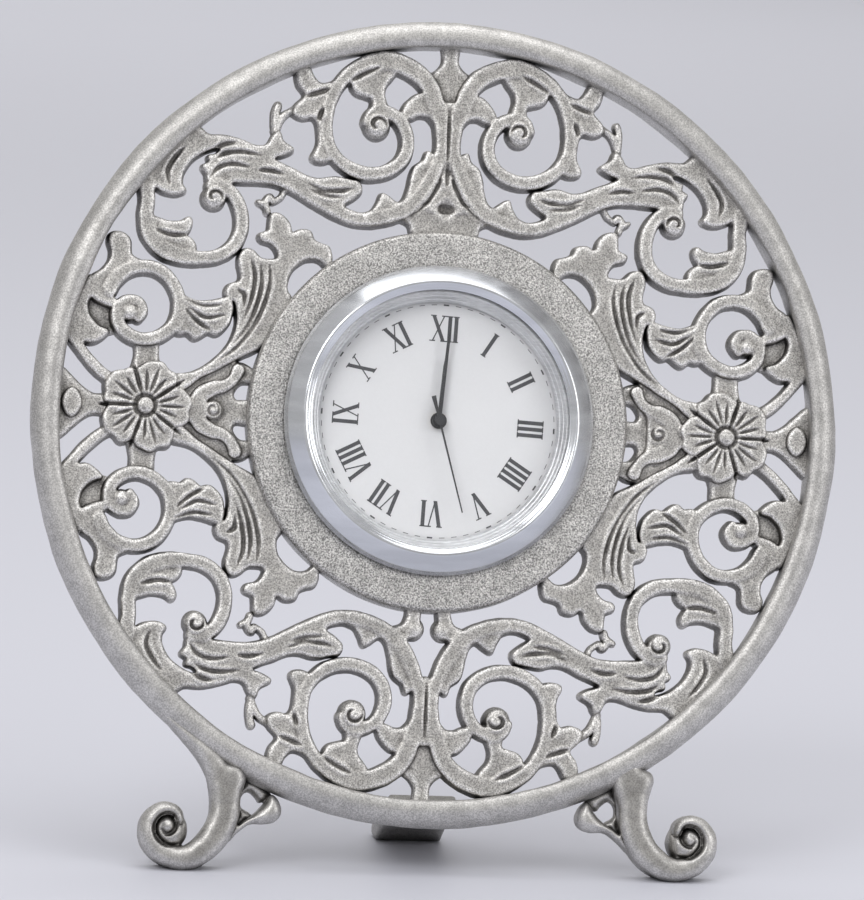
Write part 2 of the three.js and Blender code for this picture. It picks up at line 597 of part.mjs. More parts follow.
function bezel() {
  const lip = LENS_R - 0.6;
  return turned([
    [CASE_R + GAP, BEZEL_N], [BEZEL_R, BEZEL_N], [BEZEL_R, BEZEL_N + 0.18 * BEZEL_RISE],
    [BEZEL_R - 0.25, BEZEL_N + 0.43 * BEZEL_RISE], [BEZEL_R - 0.5 * BEZEL_SLOPE, CREST_N - 0.25 * BEZEL_RISE],
    [BEZEL_R - BEZEL_SLOPE, CREST_N], [BEZEL_R - BEZEL_SLOPE - 0.8 * BEZEL_LIP, CREST_N - 0.2], [lip, LIP_N],
    [LENS_R + GAP, LIP_N], [LENS_R + GAP, LENS_N], [CASE_R + GAP, LENS_N],
  ], RING_STEPS);
}

function caseCup() {
  return turned([
    [CASE_IN, CASE_BACK], [CASE_R, CASE_BACK], [CASE_R, CASE_FRONT], [CASE_IN, CASE_FRONT],
    [CASE_IN, LEDGE_FRONT], [LEDGE_R, LEDGE_FRONT], [LEDGE_R, LEDGE_BACK], [CASE_IN, LEDGE_BACK],
  ], INSERT_STEPS);
}

function gripRing() {
  const inner = GRIP_R - GRIP_THICK;
  return turned([
    [inner, GRIP_BACK], [GRIP_R, GRIP_BACK], [GRIP_R, GRIP_BACK + GRIP_WIDE], [inner, GRIP_BACK + GRIP_WIDE],
  ], INSERT_STEPS);
}

function dialRing() {
  return turned([
    [FIT_R - DIAL_RING_WIDE, DIAL_RING_N], [FIT_R, DIAL_RING_N],
    [FIT_R, CASE_FRONT], [FIT_R - 0.2, CASE_FRONT],
  ], INSERT_STEPS);
}

function dial() {
  const hole = HOUR_R + RUN;
  return turned([
    [hole, DIAL_N], [FIT_R, DIAL_N], [FIT_R, DIAL_N + DIAL_THICK], [hole, DIAL_N + DIAL_THICK],
  ], INSERT_STEPS);
}

// A flat hand drawn pointing to twelve, with its round eye and an optional hole for the pipe below
function hand(points, eyeR, holeR, turn, low) {
  const other = points.map(([u, v]) => [-u, v]).reverse();
  const blade = plate(outline([...points, ...other]), low, low + HAND_THICK);
  let whole = blade.add(rod(eyeR, low, low + HAND_THICK, 16));
  if (holeR > 0) {
    whole = whole.subtract(rod(holeR, low - 1, low + 1, 12));
  }
  const geometry = geometryOf(whole);
  geometry.rotateZ(THREE.MathUtils.degToRad(INSERT_TURN - turn));
  return geometry;
}

function hourHand() {
  const edge = [[0.2, 0.5], [0.18, HOUR_LONG - 1], [0.07, HOUR_LONG]];
  return hand(edge, HOUR_R + 0.15, HOUR_IN, HOUR_TURN, HOUR_HAND_N);
}

function minuteHand() {
  const edge = [[0.24, 0.4], [0.17, MINUTE_LONG - 1.2], [0.06, MINUTE_LONG]];
  return hand(edge, PIPE_R + 0.3, PIPE_IN, MINUTE_TURN, MINUTE_HAND_N);
}

function secondHand() {
  const edge = [[0.27, -SECOND_TAIL], [0.12, -0.5], [0.12, 0.5], [0.07, SECOND_LONG]];
  return hand(edge, PIPE_R + 0.1, 0, SECOND_TURN, SECOND_HAND_N);
}

function mainPlate() {
  const shape = new THREE.Shape(ringOf(FIT_R, INSERT_STEPS, [0, 0]));
  shape.holes.push(roundHole(HOUR_IN, 14, [0, 0]));
  shape.holes.push(roundHole(SETTING_R + RUN, 10, SETTING_AT.toArray()));
  for (const p of [THIRD_AT, STEP_AT, ROTOR_AT]) {
    shape.holes.push(roundHole(ARBOR_R + RUN, 10, p.toArray()));
  }
  let whole = plate(shape, PLATE_BACK, PLATE_FRONT);
  for (const p of PILLARS) {
    whole = whole.add(rod(PILLAR_R, BRIDGE_FRONT + GAP, PLATE_BACK + 0.2, 12, p));
    whole = whole.subtract(rod(SCREW_R + RUN, BRIDGE_FRONT - 1, PLATE_BACK - 1.6, 10, p));
  }
  return whole;
}

function movementRing() {
  return turned([
    [FIT_R - SPIGOT_WIDE, COVER_FRONT + SPIGOT + GAP], [FIT_R, COVER_FRONT + SPIGOT + GAP],
    [FIT_R, PLATE_BACK - GAP], [FIT_R - SPIGOT_WIDE, PLATE_BACK - GAP],
  ], INSERT_STEPS);
}

// The bridge: arms from pillar to pillar by way of the bearings
function trainBridge() {
  const centre = new THREE.Vector2();
  const [right, low, left] = PILLARS.map(([u, v]) => new THREE.Vector2(u, v));
  const arms = [
    [left, THIRD_AT], [THIRD_AT, right], [THIRD_AT, centre],
    [centre, STEP_AT], [STEP_AT, ROTOR_AT], [ROTOR_AT, low],
  ];
  const bars = arms.map(([a, b]) => {
    const side = b.clone().sub(a).setLength(BRIDGE_HALF).rotateAround(centre, Math.PI / 2);
    const corners = [a.clone().add(side), a.clone().sub(side), b.clone().sub(side), b.clone().add(side)];
    return plate(new THREE.Shape(corners), BRIDGE_BACK, BRIDGE_FRONT);
  });
  const bosses = [centre, THIRD_AT, STEP_AT, ROTOR_AT, right, low, left];
  const eyes = bosses.map((p) => rod(BRIDGE_HALF, BRIDGE_BACK, BRIDGE_FRONT, 10, p.toArray()));
  const holes = bosses.map((p, k) => rod(
    (k < 4 ? ARBOR_R : SCREW_R) + RUN, BRIDGE_BACK - 1, BRIDGE_FRONT + 1, 8, p.toArray()));
  return join([...bars, ...eyes]).subtract(join(holes));
}

function bridgeScrew(p) {
  const head = BRIDGE_BACK - GAP;
  return rod(PILLAR_R, head - 0.4, head, 12, p).add(rod(SCREW_R, head - 0.2, PLATE_BACK - 2.0, 8, p));
}

// Wheels of the train: each is one turned piece with its pinion and arbor
function arbor(low, high, p) {
  return rod(ARBOR_R, low, high, 8, p);
}

function thirdWheel() {
  const p = THIRD_AT.toArray();
  const wheelR = pitch(THIRD_AWAY, TEETH.thirdWheel, TEETH.secondsPinion);
  const pinionR = pitch(THIRD_AWAY, TEETH.thirdPinion, TEETH.centreWheel);
  return join([
    wheel(TEETH.thirdWheel, wheelR, 270, true, THIRD_N, p),
    wheel(TEETH.thirdPinion, pinionR, 270, false, CENTRE_N, p),
    arbor(BRIDGE_BACK + 0.3, PLATE_FRONT - 0.4, p),
  ]);
}

function centreWheel() {
  return join([
    wheel(TEETH.centreWheel, pitch(THIRD_AWAY, TEETH.centreWheel, TEETH.thirdPinion), 90, true, CENTRE_N),
    rod(PIPE_R, CENTRE_N, MINUTE_HAND_N - 0.15, 16),
    wheel(TEETH.cannon, pitch(SETTING_AWAY, TEETH.cannon, TEETH.minuteWheel), 225, false, CANNON_N),
  ]).subtract(rod(PIPE_IN, CENTRE_N - 1, MINUTE_HAND_N + 1, 12));
}

function hourWheel() {
  return join([
    wheel(TEETH.hourWheel, pitch(SETTING_AWAY, TEETH.hourWheel, TEETH.minutePinion), 225, true, HOUR_N),
    rod(HOUR_R, HOUR_N, HOUR_HAND_N - 0.15, 16),
  ]).subtract(rod(HOUR_IN, HOUR_N - 1, HOUR_HAND_N + 1, 16));
}

function minuteWheel() {
  const p = SETTING_AT.toArray();
  return join([
    wheel(TEETH.minuteWheel, pitch(SETTING_AWAY, TEETH.minuteWheel, TEETH.cannon), 45, true, CANNON_N, p),
    wheel(TEETH.minutePinion, pitch(SETTING_AWAY, TEETH.minutePinion, TEETH.hourWheel), 45, false, HOUR_N, p),
    rod(SETTING_R, COVER_FRONT - COVER_THICK, HOUR_N + WHEEL_THICK, 10, p),
  ]);
}

function secondsWheel() {
  return join([
    wheel(TEETH.secondsWheel, pitch(STEP_AWAY, TEETH.secondsWheel, TEETH.stepPinion), -30, true, SECONDS_N),
    wheel(TEETH.secondsPinion, pitch(THIRD_AWAY, TEETH.secondsPinion, TEETH.thirdWheel), 90, false, THIRD_N),
    arbor(BRIDGE_BACK + 0.3, SECOND_HAND_N - 0.15, [0, 0]),
  ]);
}

function intermediateWheel() {
  const p = STEP_AT.toArray();
  return join([
    wheel(TEETH.stepWheel, pitch(ROTOR_AWAY, TEETH.stepWheel, TEETH.rotorPinion), -110, true, STEP_N, p),
    wheel(TEETH.stepPinion, pitch(STEP_AWAY, TEETH.stepPinion, TEETH.secondsWheel), 150, false, SECONDS_N, p),
    arbor(BRIDGE_BACK + 0.3, PLATE_FRONT - 0.4, p),
  ]);
}

function rotor() {
  const p = ROTOR_AT.toArray();
  return join([
    wheel(TEETH.rotorPinion, pitch(ROTOR_AWAY, TEETH.rotorPinion, TEETH.stepWheel), 70, false, STEP_N, p),
    rod(MAGNET_R, STATOR_N - 0.2, STATOR_N + STATOR_THICK + 0.2, 14, p),
    arbor(BRIDGE_BACK + 0.3, PLATE_FRONT - 0.4, p),
  ]);
}

// Motor: drawn with the rotor at the middle and the coil beyond it, then turned into place
const COIL_HALF = 3.9;
const CORE_HALF = 5.3;
const CORE_WIDE = 1.0;
const CORE_THICK = 0.5;
const COIL_CLEAR = 0.15;
const COIL_OUT = Math.sqrt((ROOM_R - COIL_CLEAR) ** 2 - CORE_HALF ** 2) - ROTOR_AT.length() - CORE_WIDE / 2;

function inMotor(geometry) {
  geometry.rotateZ(ROTOR_AT.angle() - Math.PI / 2);
  geometry.translate(ROTOR_AT.x, ROTOR_AT.y, 0);
  return geometry;
}

function stator() {
  const ring = rod(MAGNET_R + 0.95, STATOR_N, STATOR_N + STATOR_THICK, 20);
  const arms = plate(outline([
    [-CORE_HALF, 0.4], [CORE_HALF, 0.4], [CORE_HALF, COIL_OUT + 0.5], [CORE_HALF - 1, COIL_OUT + 0.5],
    [CORE_HALF - 1, 2.1], [1 - CORE_HALF, 2.1], [1 - CORE_HALF, COIL_OUT + 0.5], [-CORE_HALF, COIL_OUT + 0.5],
  ]), STATOR_N, STATOR_N + STATOR_THICK);
  return inMotor(geometryOf(ring.add(arms).subtract(rod(MAGNET_R + 0.4, STATOR_N - 1, STATOR_N + 2, 16))));
}

function coilCore() {
  const geometry = new THREE.BoxGeometry(2 * CORE_HALF, CORE_WIDE, CORE_THICK);
  geometry.translate(0, COIL_OUT, STATOR_N - GAP - CORE_THICK / 2);
  return inMotor(geometry);
}

function coilWinding() {
  const half = CORE_WIDE / 2 + GAP;
  const tall = CORE_THICK / 2 + GAP;
  const section = outline([[-1, -0.95], [1, -0.95], [1, 0.95], [-1, 0.95]]);
  section.holes.push(new THREE.Path([[-half, -tall], [-half, tall], [half, tall], [half, -tall]].map(
    ([x, y]) => new THREE.Vector2(x, y))));
  const geometry = new THREE.ExtrudeGeometry(section, { depth: 2 * COIL_HALF, bevelEnabled: false });
  geometry.translate(0, 0, -COIL_HALF);
  geometry.rotateX(Math.PI / 2);
  geometry.rotateZ(Math.PI / 2);
  geometry.rotateX(Math.PI / 2);
  geometry.translate(0, COIL_OUT, STATOR_N - GAP - CORE_THICK / 2);
  return inMotor(geometry);
}

const BOARD_IN = SETTING_AWAY + 2 * SETTING_R;
const BOARD_OUT = ROOM_R - GAP;
const BOARD_THICK = 0.7;
const CAN_R = 0.9;
const CAN_LONG = 5;

function circuitBoard() {
  const points = [];
  for (let k = 0; k <= 6; k += 1) {
    points.push(at(BOARD_OUT, 214 + 6 * k).toArray());
  }
  points.push(at(BOARD_IN, 250).toArray(), at(BOARD_IN, 232).toArray(), at(BOARD_IN, 214).toArray());
  return plate(outline(points), PLATE_BACK - GAP - BOARD_THICK, PLATE_BACK - GAP);
}

function quartzCan() {
  const geometry = new THREE.CylinderGeometry(CAN_R, CAN_R, CAN_LONG, 14);
  geometry.rotateZ(THREE.MathUtils.degToRad(232));
  const p = at((BOARD_IN + BOARD_OUT) / 2, 232);
  geometry.translate(p.x, p.y, PLATE_BACK - 2 * GAP - BOARD_THICK - CAN_R);
  return geometry;
}

const BATTERY_FRONT = PLATE_BACK - 0.7;
const BATTERY_TALL = 2.6;

function battery() {
  return turned([
    [0, BATTERY_FRONT - BATTERY_TALL], [BATTERY_R, BATTERY_FRONT - BATTERY_TALL],
    [BATTERY_R, BATTERY_FRONT - 0.4],
    [BATTERY_R - 0.4, BATTERY_FRONT], [0, BATTERY_FRONT],
  ], 28, BATTERY_AT);
}

function batteryClip() {
  const back = BATTERY_FRONT - BATTERY_TALL - GAP;
  const bow = new THREE.BoxGeometry(2.4, 2 * (BATTERY_R + 0.9), GAP);
  bow.translate(BATTERY_AT[0], BATTERY_AT[1], back - GAP / 2);
  const legs = [-1, 1].map((way) => {
    const leg = new THREE.BoxGeometry(2.4, 0.5, PLATE_BACK - GAP - back + GAP);
    const middle = (PLATE_BACK - GAP + back - GAP) / 2;
    leg.translate(BATTERY_AT[0], BATTERY_AT[1] + way * (BATTERY_R + 0.65), middle);
    return solid(leg);
  });
  return join([solid(bow), ...legs]);
}

function backCover() {
  const eye = rod(KNOB_R + 2 * GAP, COVER_FRONT - 3, COVER_FRONT + 0.5, 20, SETTING_AT.toArray());
  return turned([
    [0, COVER_FRONT - COVER_THICK], [CASE_R, COVER_FRONT - COVER_THICK], [CASE_R, COVER_FRONT],
    [FIT_R, COVER_FRONT], [FIT_R, COVER_FRONT + SPIGOT], [FIT_R - SPIGOT_WIDE, COVER_FRONT + SPIGOT],
    [FIT_R - SPIGOT_WIDE, COVER_FRONT], [0, COVER_FRONT],
  ], INSERT_STEPS).subtract(eye);
}

function settingKnob() {
  const back = COVER_FRONT + 0.2 - KNOB_TALL;
  const bore = SETTING_R + GAP;
  return turned([
    [0, back], [KNOB_R, back], [KNOB_R, back + KNOB_TALL], [bore, back + KNOB_TALL], [bore, back + 0.6],
    [0, back + 0.6],
  ], 20, SETTING_AT.toArray());
}

// Assembly
const clock = new THREE.Group();
clock.name = 'pewter_clock';
const disc = new THREE.Group();
disc.name = 'leaning_disc';
disc.rotation.x = THREE.MathUtils.degToRad(90 - LEAN);
disc.position.z = FLOOR_DROP * Math.cos(THREE.MathUtils.degToRad(LEAN));
clock.add(disc);

function add(parent, name, body, finish) {
  const geometry = body.isBufferGeometry ? welded(body) : geometryOf(body);
  geometry.computeVertexNormals();
  const mesh = new THREE.Mesh(geometry, new THREE.MeshStandardMaterial({ ...finish, name }));
  mesh.name = name;
  parent.add(mesh);
  return mesh;
}

function patterned(body) {
  const geometry = geometryOf(body);
  geometry.rotateZ(THREE.MathUtils.degToRad(PATTERN_TURN));
  return geometry;
}

add(disc, 'outer_rim', outerRim(), pewter);
add(disc, 'inner_ring', innerRing(), pewter);
add(disc, 'top_scroll_panel', patterned(scrollPanel(1)), pewter);
add(disc, 'bottom_scroll_panel', patterned(scrollPanel(-1)), pewter);
add(disc, 'left_flower_panel', patterned(flowerPanel(-1)), pewter);
add(disc, 'right_flower_panel', patterned(flowerPanel(1)), pewter);
add(disc, 'left_front_foot', frontFoot(-1), pewter);
add(disc, 'right_front_foot', frontFoot(1), pewter);
add(clock, 'rear_foot', rearFoot(), pewter);
add(disc, 'case_cup', caseCup(), steel);
add(disc, 'grip_ring', gripRing(), { color: 0x2b2b2b, roughness: 0.8, metalness: 0 });
add(disc, 'bezel', bezel(), chrome);
add(disc, 'lens', rod(LENS_R, LENS_N, LENS_N + LENS_THICK, INSERT_STEPS), {
  color: 0xf4f7f8, roughness: 0.05, metalness: 0, transparent: true, opacity: 0.25,
});
add(disc, 'dial_ring', dialRing(), { color: 0xc9cccd, roughness: 0.35, metalness: 0.4 });
add(disc, 'dial', dial(), { color: 0xf2f2ef, roughness: 0.6, metalness: 0 });
add(disc, 'hour_hand', hourHand(), blackSteel);
add(disc, 'minute_hand', minuteHand(), blackSteel);
add(disc, 'second_hand', secondHand(), blackSteel);
add(disc, 'back_cover', backCover(), steel);
add(disc, 'setting_knob', settingKnob(), { color: 0x2b2b2b, roughness: 0.5, metalness: 0 });
add(disc, 'main_plate', mainPlate(), whitePlastic);
add(disc, 'movement_ring', movementRing(), whitePlastic);
add(disc, 'train_bridge', trainBridge(), whitePlastic);
PILLARS.forEach((p, k) => add(disc, `bridge_screw_${k + 1}`, bridgeScrew(p), steel));
add(disc, 'rotor', rotor(), blackSteel);
add(disc, 'intermediate_wheel', intermediateWheel(), brass);
add(disc, 'seconds_wheel', secondsWheel(), brass);
add(disc, 'third_wheel', thirdWheel(), brass);
add(disc, 'centre_wheel', centreWheel(), brass);
add(disc, 'minute_wheel', minuteWheel(), brass);
add(disc, 'hour_wheel', hourWheel(), brass);
add(disc, 'stator', stator(), steel);
add(disc, 'coil_core', coilCore(), steel);
add(disc, 'coil_winding', coilWinding(), { color: 0xb06a3a, roughness: 0.45, metalness: 0.8 });
add(disc, 'circuit_board', circuitBoard(), { color: 0x2f6b42, roughness: 0.5, metalness: 0 });
add(disc, 'quartz_can', quartzCan(), steel);
add(disc, 'battery', battery(), steel);
add(disc, 'battery_clip', batteryClip(), steel);

// The part stands on the floor at the middle of its own outline
clock.updateMatrixWorld(true);
const box = new THREE.Box3().setFromObject(clock, true);
clock.position.set(-(box.min.x + box.max.x) / 2, -(box.min.y + box.max.y) / 2, -box.min.z);

export default clock;
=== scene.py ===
import math

import bmesh
import bpy
import numpy as np
from mathutils import Matrix, Vector, kdtree, noise


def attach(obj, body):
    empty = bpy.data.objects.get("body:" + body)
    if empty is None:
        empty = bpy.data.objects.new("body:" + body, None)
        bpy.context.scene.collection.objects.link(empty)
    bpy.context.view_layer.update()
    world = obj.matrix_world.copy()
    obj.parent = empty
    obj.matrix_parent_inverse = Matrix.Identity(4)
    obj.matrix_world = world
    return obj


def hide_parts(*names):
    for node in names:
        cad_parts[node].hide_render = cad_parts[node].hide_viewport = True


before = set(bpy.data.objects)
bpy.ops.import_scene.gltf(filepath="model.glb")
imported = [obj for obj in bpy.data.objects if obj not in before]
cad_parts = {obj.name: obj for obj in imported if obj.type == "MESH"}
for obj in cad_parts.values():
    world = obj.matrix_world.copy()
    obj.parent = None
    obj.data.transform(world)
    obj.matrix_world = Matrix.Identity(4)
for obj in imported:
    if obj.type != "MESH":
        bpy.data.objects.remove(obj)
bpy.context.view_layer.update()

# Outer rim. A plain rounded hoop of pewter, sand cast in one with the openwork and rubbed smooth on
# its outer slope. Its front stays a little uneven, as the sand left it. The disc leans back 14 degrees.
MM = 0.001
LEAN = math.radians(14)
DISC_CENTRE = Vector((0, 2.992, 50.844)) * MM
# u to the right, v up the disc and n out of its front, in millimetres
DISC = (Matrix.Translation(DISC_CENTRE) @ Matrix.Rotation(math.pi / 2 - LEAN, 4, "X")
        @ Matrix.Scale(MM, 4))
RIM_R = 47.75
RIM_IN = 44.4
RIM_SECTION = [
    (RIM_IN, 0.5), (44.9, 0), (46.4, 0), (47.35, 0.66), (47.72, 2.0), (47.5, 3.3), (46.85, 4.25),
    (46.0, 4.68), (45.2, 4.72), (RIM_IN, 4.3),
]


def rounded(section, radius, steps=4, closed=True):
    """The section with each corner replaced by a short round of about that radius."""
    points = [np.array(p, float) for p in section]
    last = len(points) - 1
    fine = []
    for k, p in enumerate(points):
        if not closed and k in (0, last):
            fine.append(tuple(p))
            continue
        a, b = points[k - 1] - p, points[(k + 1) % len(points)] - p
        cut = min(radius, 0.45 * np.linalg.norm(a), 0.45 * np.linalg.norm(b))
        start = p + a / np.linalg.norm(a) * cut
        end = p + b / np.linalg.norm(b) * cut
        for t in np.linspace(0, 1, steps):
            fine.append(tuple((1 - t) ** 2 * start + 2 * t * (1 - t) * p + t * t * end))
    return fine


def turned(section, steps, closed=True):
    """A bmesh turned about the disc's axis from a section of radius and height."""
    bm = bmesh.new()
    verts = [bm.verts.new((r, 0, n)) for r, n in section]
    ends = verts[1:] + verts[:1] if closed else verts[1:]
    edges = [bm.edges.new(pair) for pair in zip(verts, ends)]
    bmesh.ops.spin(bm, geom=verts + edges, cent=(0, 0, 0), axis=(0, 0, 1), angle=2 * math.pi,
                   steps=steps, use_merge=True)
    bmesh.ops.remove_doubles(bm, verts=bm.verts, dist=1e-4)
    bmesh.ops.recalc_face_normals(bm, faces=bm.faces)
    return bm


def finished(name, mesh, material, body, slot, *nodes, place=DISC, smooth=True):
    """The mesh as a piece in its place, riding on its body and standing for its CAD nodes."""
    mesh.transform(place)
    mesh.polygons.foreach_set("use_smooth", [smooth] * len(mesh.polygons))
    mesh.materials.clear()
    mesh.materials.append(material)
    piece = bpy.data.objects.new(name, mesh)
    bpy.context.scene.collection.objects.link(piece)
    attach(piece, body)
    if nodes:
        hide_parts(*nodes)
    return piece


def as_mesh(name, bm):
    mesh = bpy.data.meshes.new(name)
    bm.to_mesh(mesh)
    bm.free()
    return mesh


def points_of(mesh):
    co = np.empty(len(mesh.vertices) * 3)
    mesh.vertices.foreach_get("co", co)
    return co.reshape(-1, 3)


def normals_of(mesh):
    mesh.update()
    way = np.empty(len(mesh.vertices) * 3)
    mesh.vertices.foreach_get("normal", way)
    return way.reshape(-1, 3)


def neighbours_of(mesh):
    pairs = np.empty(len(mesh.edges) * 2, int)
    mesh.edges.foreach_get("vertices", pairs)
    return pairs.reshape(-1, 2)


def eased(values, pairs, rounds, share=0.5):
    """Values at the vertices, each drawn towards the mean of its neighbours."""
    count = len(values)
    met = np.bincount(pairs.ravel(), minlength=count).clip(1)
    values = values.reshape(count, -1).copy()
    for _ in range(rounds):
        for axis in range(values.shape[1]):
            row = values[:, axis]
            total = np.bincount(pairs[:, 0], row[pairs[:, 1]], count)
            total += np.bincount(pairs[:, 1], row[pairs[:, 0]], count)
            values[:, axis] = row + share * (total / met - row)
    return values


def uneven(mesh, size, depth, seed):
    """Moves the surface in and out by a slow noise, as sand casting leaves it. The back stays flat."""
    co, way = points_of(mesh), normals_of(mesh)
    shift = np.array([noise.noise(Vector(p) / size + Vector((seed, 0, 0))) for p in co])
    shift *= way[:, 2] > -0.9
    mesh.vertices.foreach_set("co", (co + way * (depth * shift)[:, None]).ravel())
    mesh.update()


def mark_relief(mesh, rounds=14, full=0.12, painted_wall_shade=0.5):
    """Keeps in an attribute how far each vertex stands above (or below) the surface around it. Walls are
    also marked low by a share that paints shade on them, as if less light reached them."""
    co, way = points_of(mesh), normals_of(mesh)
    flat = eased(co, neighbours_of(mesh), rounds)
    stand = ((co - flat) * way).sum(axis=1) / full
    # painted shade: walls lose a share of their relief, so the finish darkens them as if less light reached
    # them
    stand = np.clip(stand, -1, 1) - painted_wall_shade * np.clip(1 - np.abs(way[:, 2]) / 0.6, 0, 1)
    stand = eased(stand, neighbours_of(mesh), 1)[:, 0]
    mark = mesh.attributes.new("relief", "FLOAT", "POINT")
    mark.data.foreach_set("value", np.clip(stand, -1, 1))


def node_of(tree, kind, inputs=None, **settings):
    """A shader node with its settings, its inputs set to values or linked to sockets."""
    made = tree.nodes.new(kind)
    for key, value in settings.items():
        setattr(made, key, value)
    for key, value in (inputs or {}).items():
        if isinstance(value, bpy.types.NodeSocket):
            tree.links.new(value, made.inputs[key])
        else:
            made.inputs[key].default_value = value
    return made


def ramp_of(tree, factor, stops):
    """A ramp from (place, colour or grey) stops, as its colour socket."""
    made = node_of(tree, "ShaderNodeValToRGB", {"Fac": factor})
    row = made.color_ramp.elements
    while len(row) < len(stops):
        row.new(0.5)
    for stop, (place, colour) in zip(row, stops):
        stop.position = place
        stop.color = (*colour, 1) if isinstance(colour, tuple) else (colour, colour, colour, 1)
    return made.outputs["Color"]


def product_of(tree, a, b, share=1.0):
    made = node_of(tree, "ShaderNodeMix", data_type="RGBA", blend_type="MULTIPLY")
    made.inputs[0].default_value = share
    tree.links.new(a, made.inputs[6])
    tree.links.new(b, made.inputs[7])
    return made.outputs[2]


def new_finish(name):
    material = bpy.data.materials.new(name)
    material.use_nodes = True
    tree = material.node_tree
    return material, tree, tree.nodes["Principled BSDF"]


def pewter(name, grain, speck, bump, light, rough):
    """Sand-cast pewter: dark tarnish left in the hollows, rubbed bright along the edges, with the grain of
    the sand all over it. Painted shade darkens it as well: an occlusion node darkens crevices and the joins
    between parts, and the relief attribute darkens the walls."""
    material, tree, shader = new_finish(name)
    place = node_of(tree, "ShaderNodeTexCoord").outputs["Object"]
    relief = node_of(tree, "ShaderNodeAttribute", attribute_name="relief").outputs["Fac"]
    lifted = node_of(tree, "ShaderNodeMath", {0: relief, 1: 0.5, 2: 0.5}, operation="MULTIPLY_ADD")
    sand = node_of(tree, "ShaderNodeTexNoise",
                   {"Vector": place, "Scale": grain, "Detail": 3.0, "Roughness": 0.65}).outputs["Fac"]
    cloud = node_of(tree, "ShaderNodeTexNoise",
                    {"Vector": place, "Scale": 420.0, "Detail": 4.0, "Roughness": 0.6}).outputs["Fac"]
    # darker where the relief attribute is low (tarnish in the hollows, and painted shade on the walls),
    # brighter where it is high (rubbed edges)
    tones = [
        (0.0, (0.15, 0.143, 0.136)), (0.3, (0.25, 0.24, 0.23)), (0.46, (0.5, 0.485, 0.465)),
        (0.56, (0.55, 0.535, 0.515)), (0.85, (0.8, 0.785, 0.765)),
    ]
    tones = [(stand, tuple(c * light for c in tone)) for stand, tone in tones]
    metal = ramp_of(tree, lifted.outputs[0], tones)
    # painted shade: ambient occlusion darkens crevices, recesses and joins between parts, standing for
    # shade there as well as for tarnish
    hollow = node_of(tree, "ShaderNodeAmbientOcclusion", {"Distance": 1.6 * MM}, samples=6)
    metal = product_of(tree, metal, ramp_of(tree, hollow.outputs["AO"], [(0.1, 0.42), (0.7, 1.0)]))
    metal = product_of(tree, metal, ramp_of(tree, sand, [(0.39, 1 - speck), (0.61, 1 + 0.9 * speck)]))
    metal = product_of(tree, metal, ramp_of(tree, cloud, [(0.35, 0.86), (0.62, 1.06)]))
    tree.links.new(metal, shader.inputs["Base Color"])
    shader.inputs["Metallic"].default_value = 1.0
    gloss = node_of(tree, "ShaderNodeMapRange", {
        "Value": sand, "From Min": 0.3, "From Max": 0.7, "To Min": rough + 0.1, "To Max": rough - 0.07})
    tree.links.new(gloss.outputs["Result"], shader.inputs["Roughness"])
    relief_bump = node_of(tree, "ShaderNodeBump", {"Height": sand, "Strength": bump, "Distance": 0.06 * MM})
    tree.links.new(relief_bump.outputs["Normal"], shader.inputs["Normal"])
    return material


rim_finish = pewter("rim_pewter", grain=5400.0, speck=0.24, bump=0.5, light=0.69, rough=0.48)
rim_mesh = as_mesh("rim", turned(rounded(RIM_SECTION, radius=0.5), steps=420))
uneven(rim_mesh, size=7.0, depth=0.16, seed=3.0)
uneven(rim_mesh, size=1.6, depth=0.05, seed=9.0)
mark_relief(rim_mesh, rounds=20, full=0.08)
finished("rim", rim_mesh, rim_finish, "frame", "pewter", "outer_rim")

# Inner ring. A flat band of the same casting around the hole for the insert. The sand shows on it as
# an even, coarse grain, and its outer edge is rubbed bright.
RING_SECTION = [(17.5, 0.3), (22.45, 0.3), (22.45, 3.6), (22.05, 4.0), (17.5, 4.0)]

ring_finish = pewter("ring_pewter", grain=5600.0, speck=0.6, bump=1.0, light=0.68, rough=0.46)
ring_mesh = as_mesh("ring", turned(rounded(RING_SECTION, radius=0.22), steps=300))
uneven(ring_mesh, size=5.0, depth=0.07, seed=1.0)
mark_relief(ring_mesh, rounds=6, full=0.08)
finished("ring", ring_mesh, ring_finish, "frame", "pewter", "inner_ring")

# Scroll panels, above and below the ring. Pairs of great scrolls that end in round eyes, with acanthus
# leaves: the upper pair stands on a palmette, the lower one on two knobs. Cast with rounded tops, and
# chased with veins.

# the flat back, and how high the eyes, bands, leaves, palmette and low webs stand
WORK_BACK = 0.6
BALL_N = 3.6
BAND_N = 3.2
LEAF_N = 3.05
PALMETTE_N = 2.85
LOW_N = 2.4
PATTERN_TURN = math.radians(-1.2)

GREAT_SCROLL = [
    (9.9, 35.0, 0.4), (9.2, 36.2, 0.55), (7.6, 36.5, 0.65), (5.7, 35.4, 0.7), (4.8, 33.2, 0.75),
    (5.2, 31.1, 0.75), (6.7, 29.6, 0.75), (8.8, 28.95, 0.75), (11.0, 29.25, 0.75), (12.8, 30.3, 0.7),
    (13.95, 31.9, 0.62), (14.4, 34.0, 0.58), (14.25, 36.4, 0.6), (13.6, 38.6, 0.68), (12.4, 40.4, 0.75),
    (10.3, 41.9, 0.9), (7.8, 42.6, 1.05), (5.3, 42.0, 1.1), (3.3, 40.8, 1.05), (2.0, 39.0, 0.95),
    (1.3, 36.8, 0.85), (0.95, 34.6, 0.65), (0.85, 32.6, 0.6), (1.1, 30.6, 0.65), (1.9, 28.5, 0.75),
    (3.1, 26.5, 0.8), (4.8, 24.9, 0.8), (6.9, 23.9, 0.75), (9.0, 23.45, 0.7),
]
GREAT_BALL = (8.5, 34.7, 1.45)
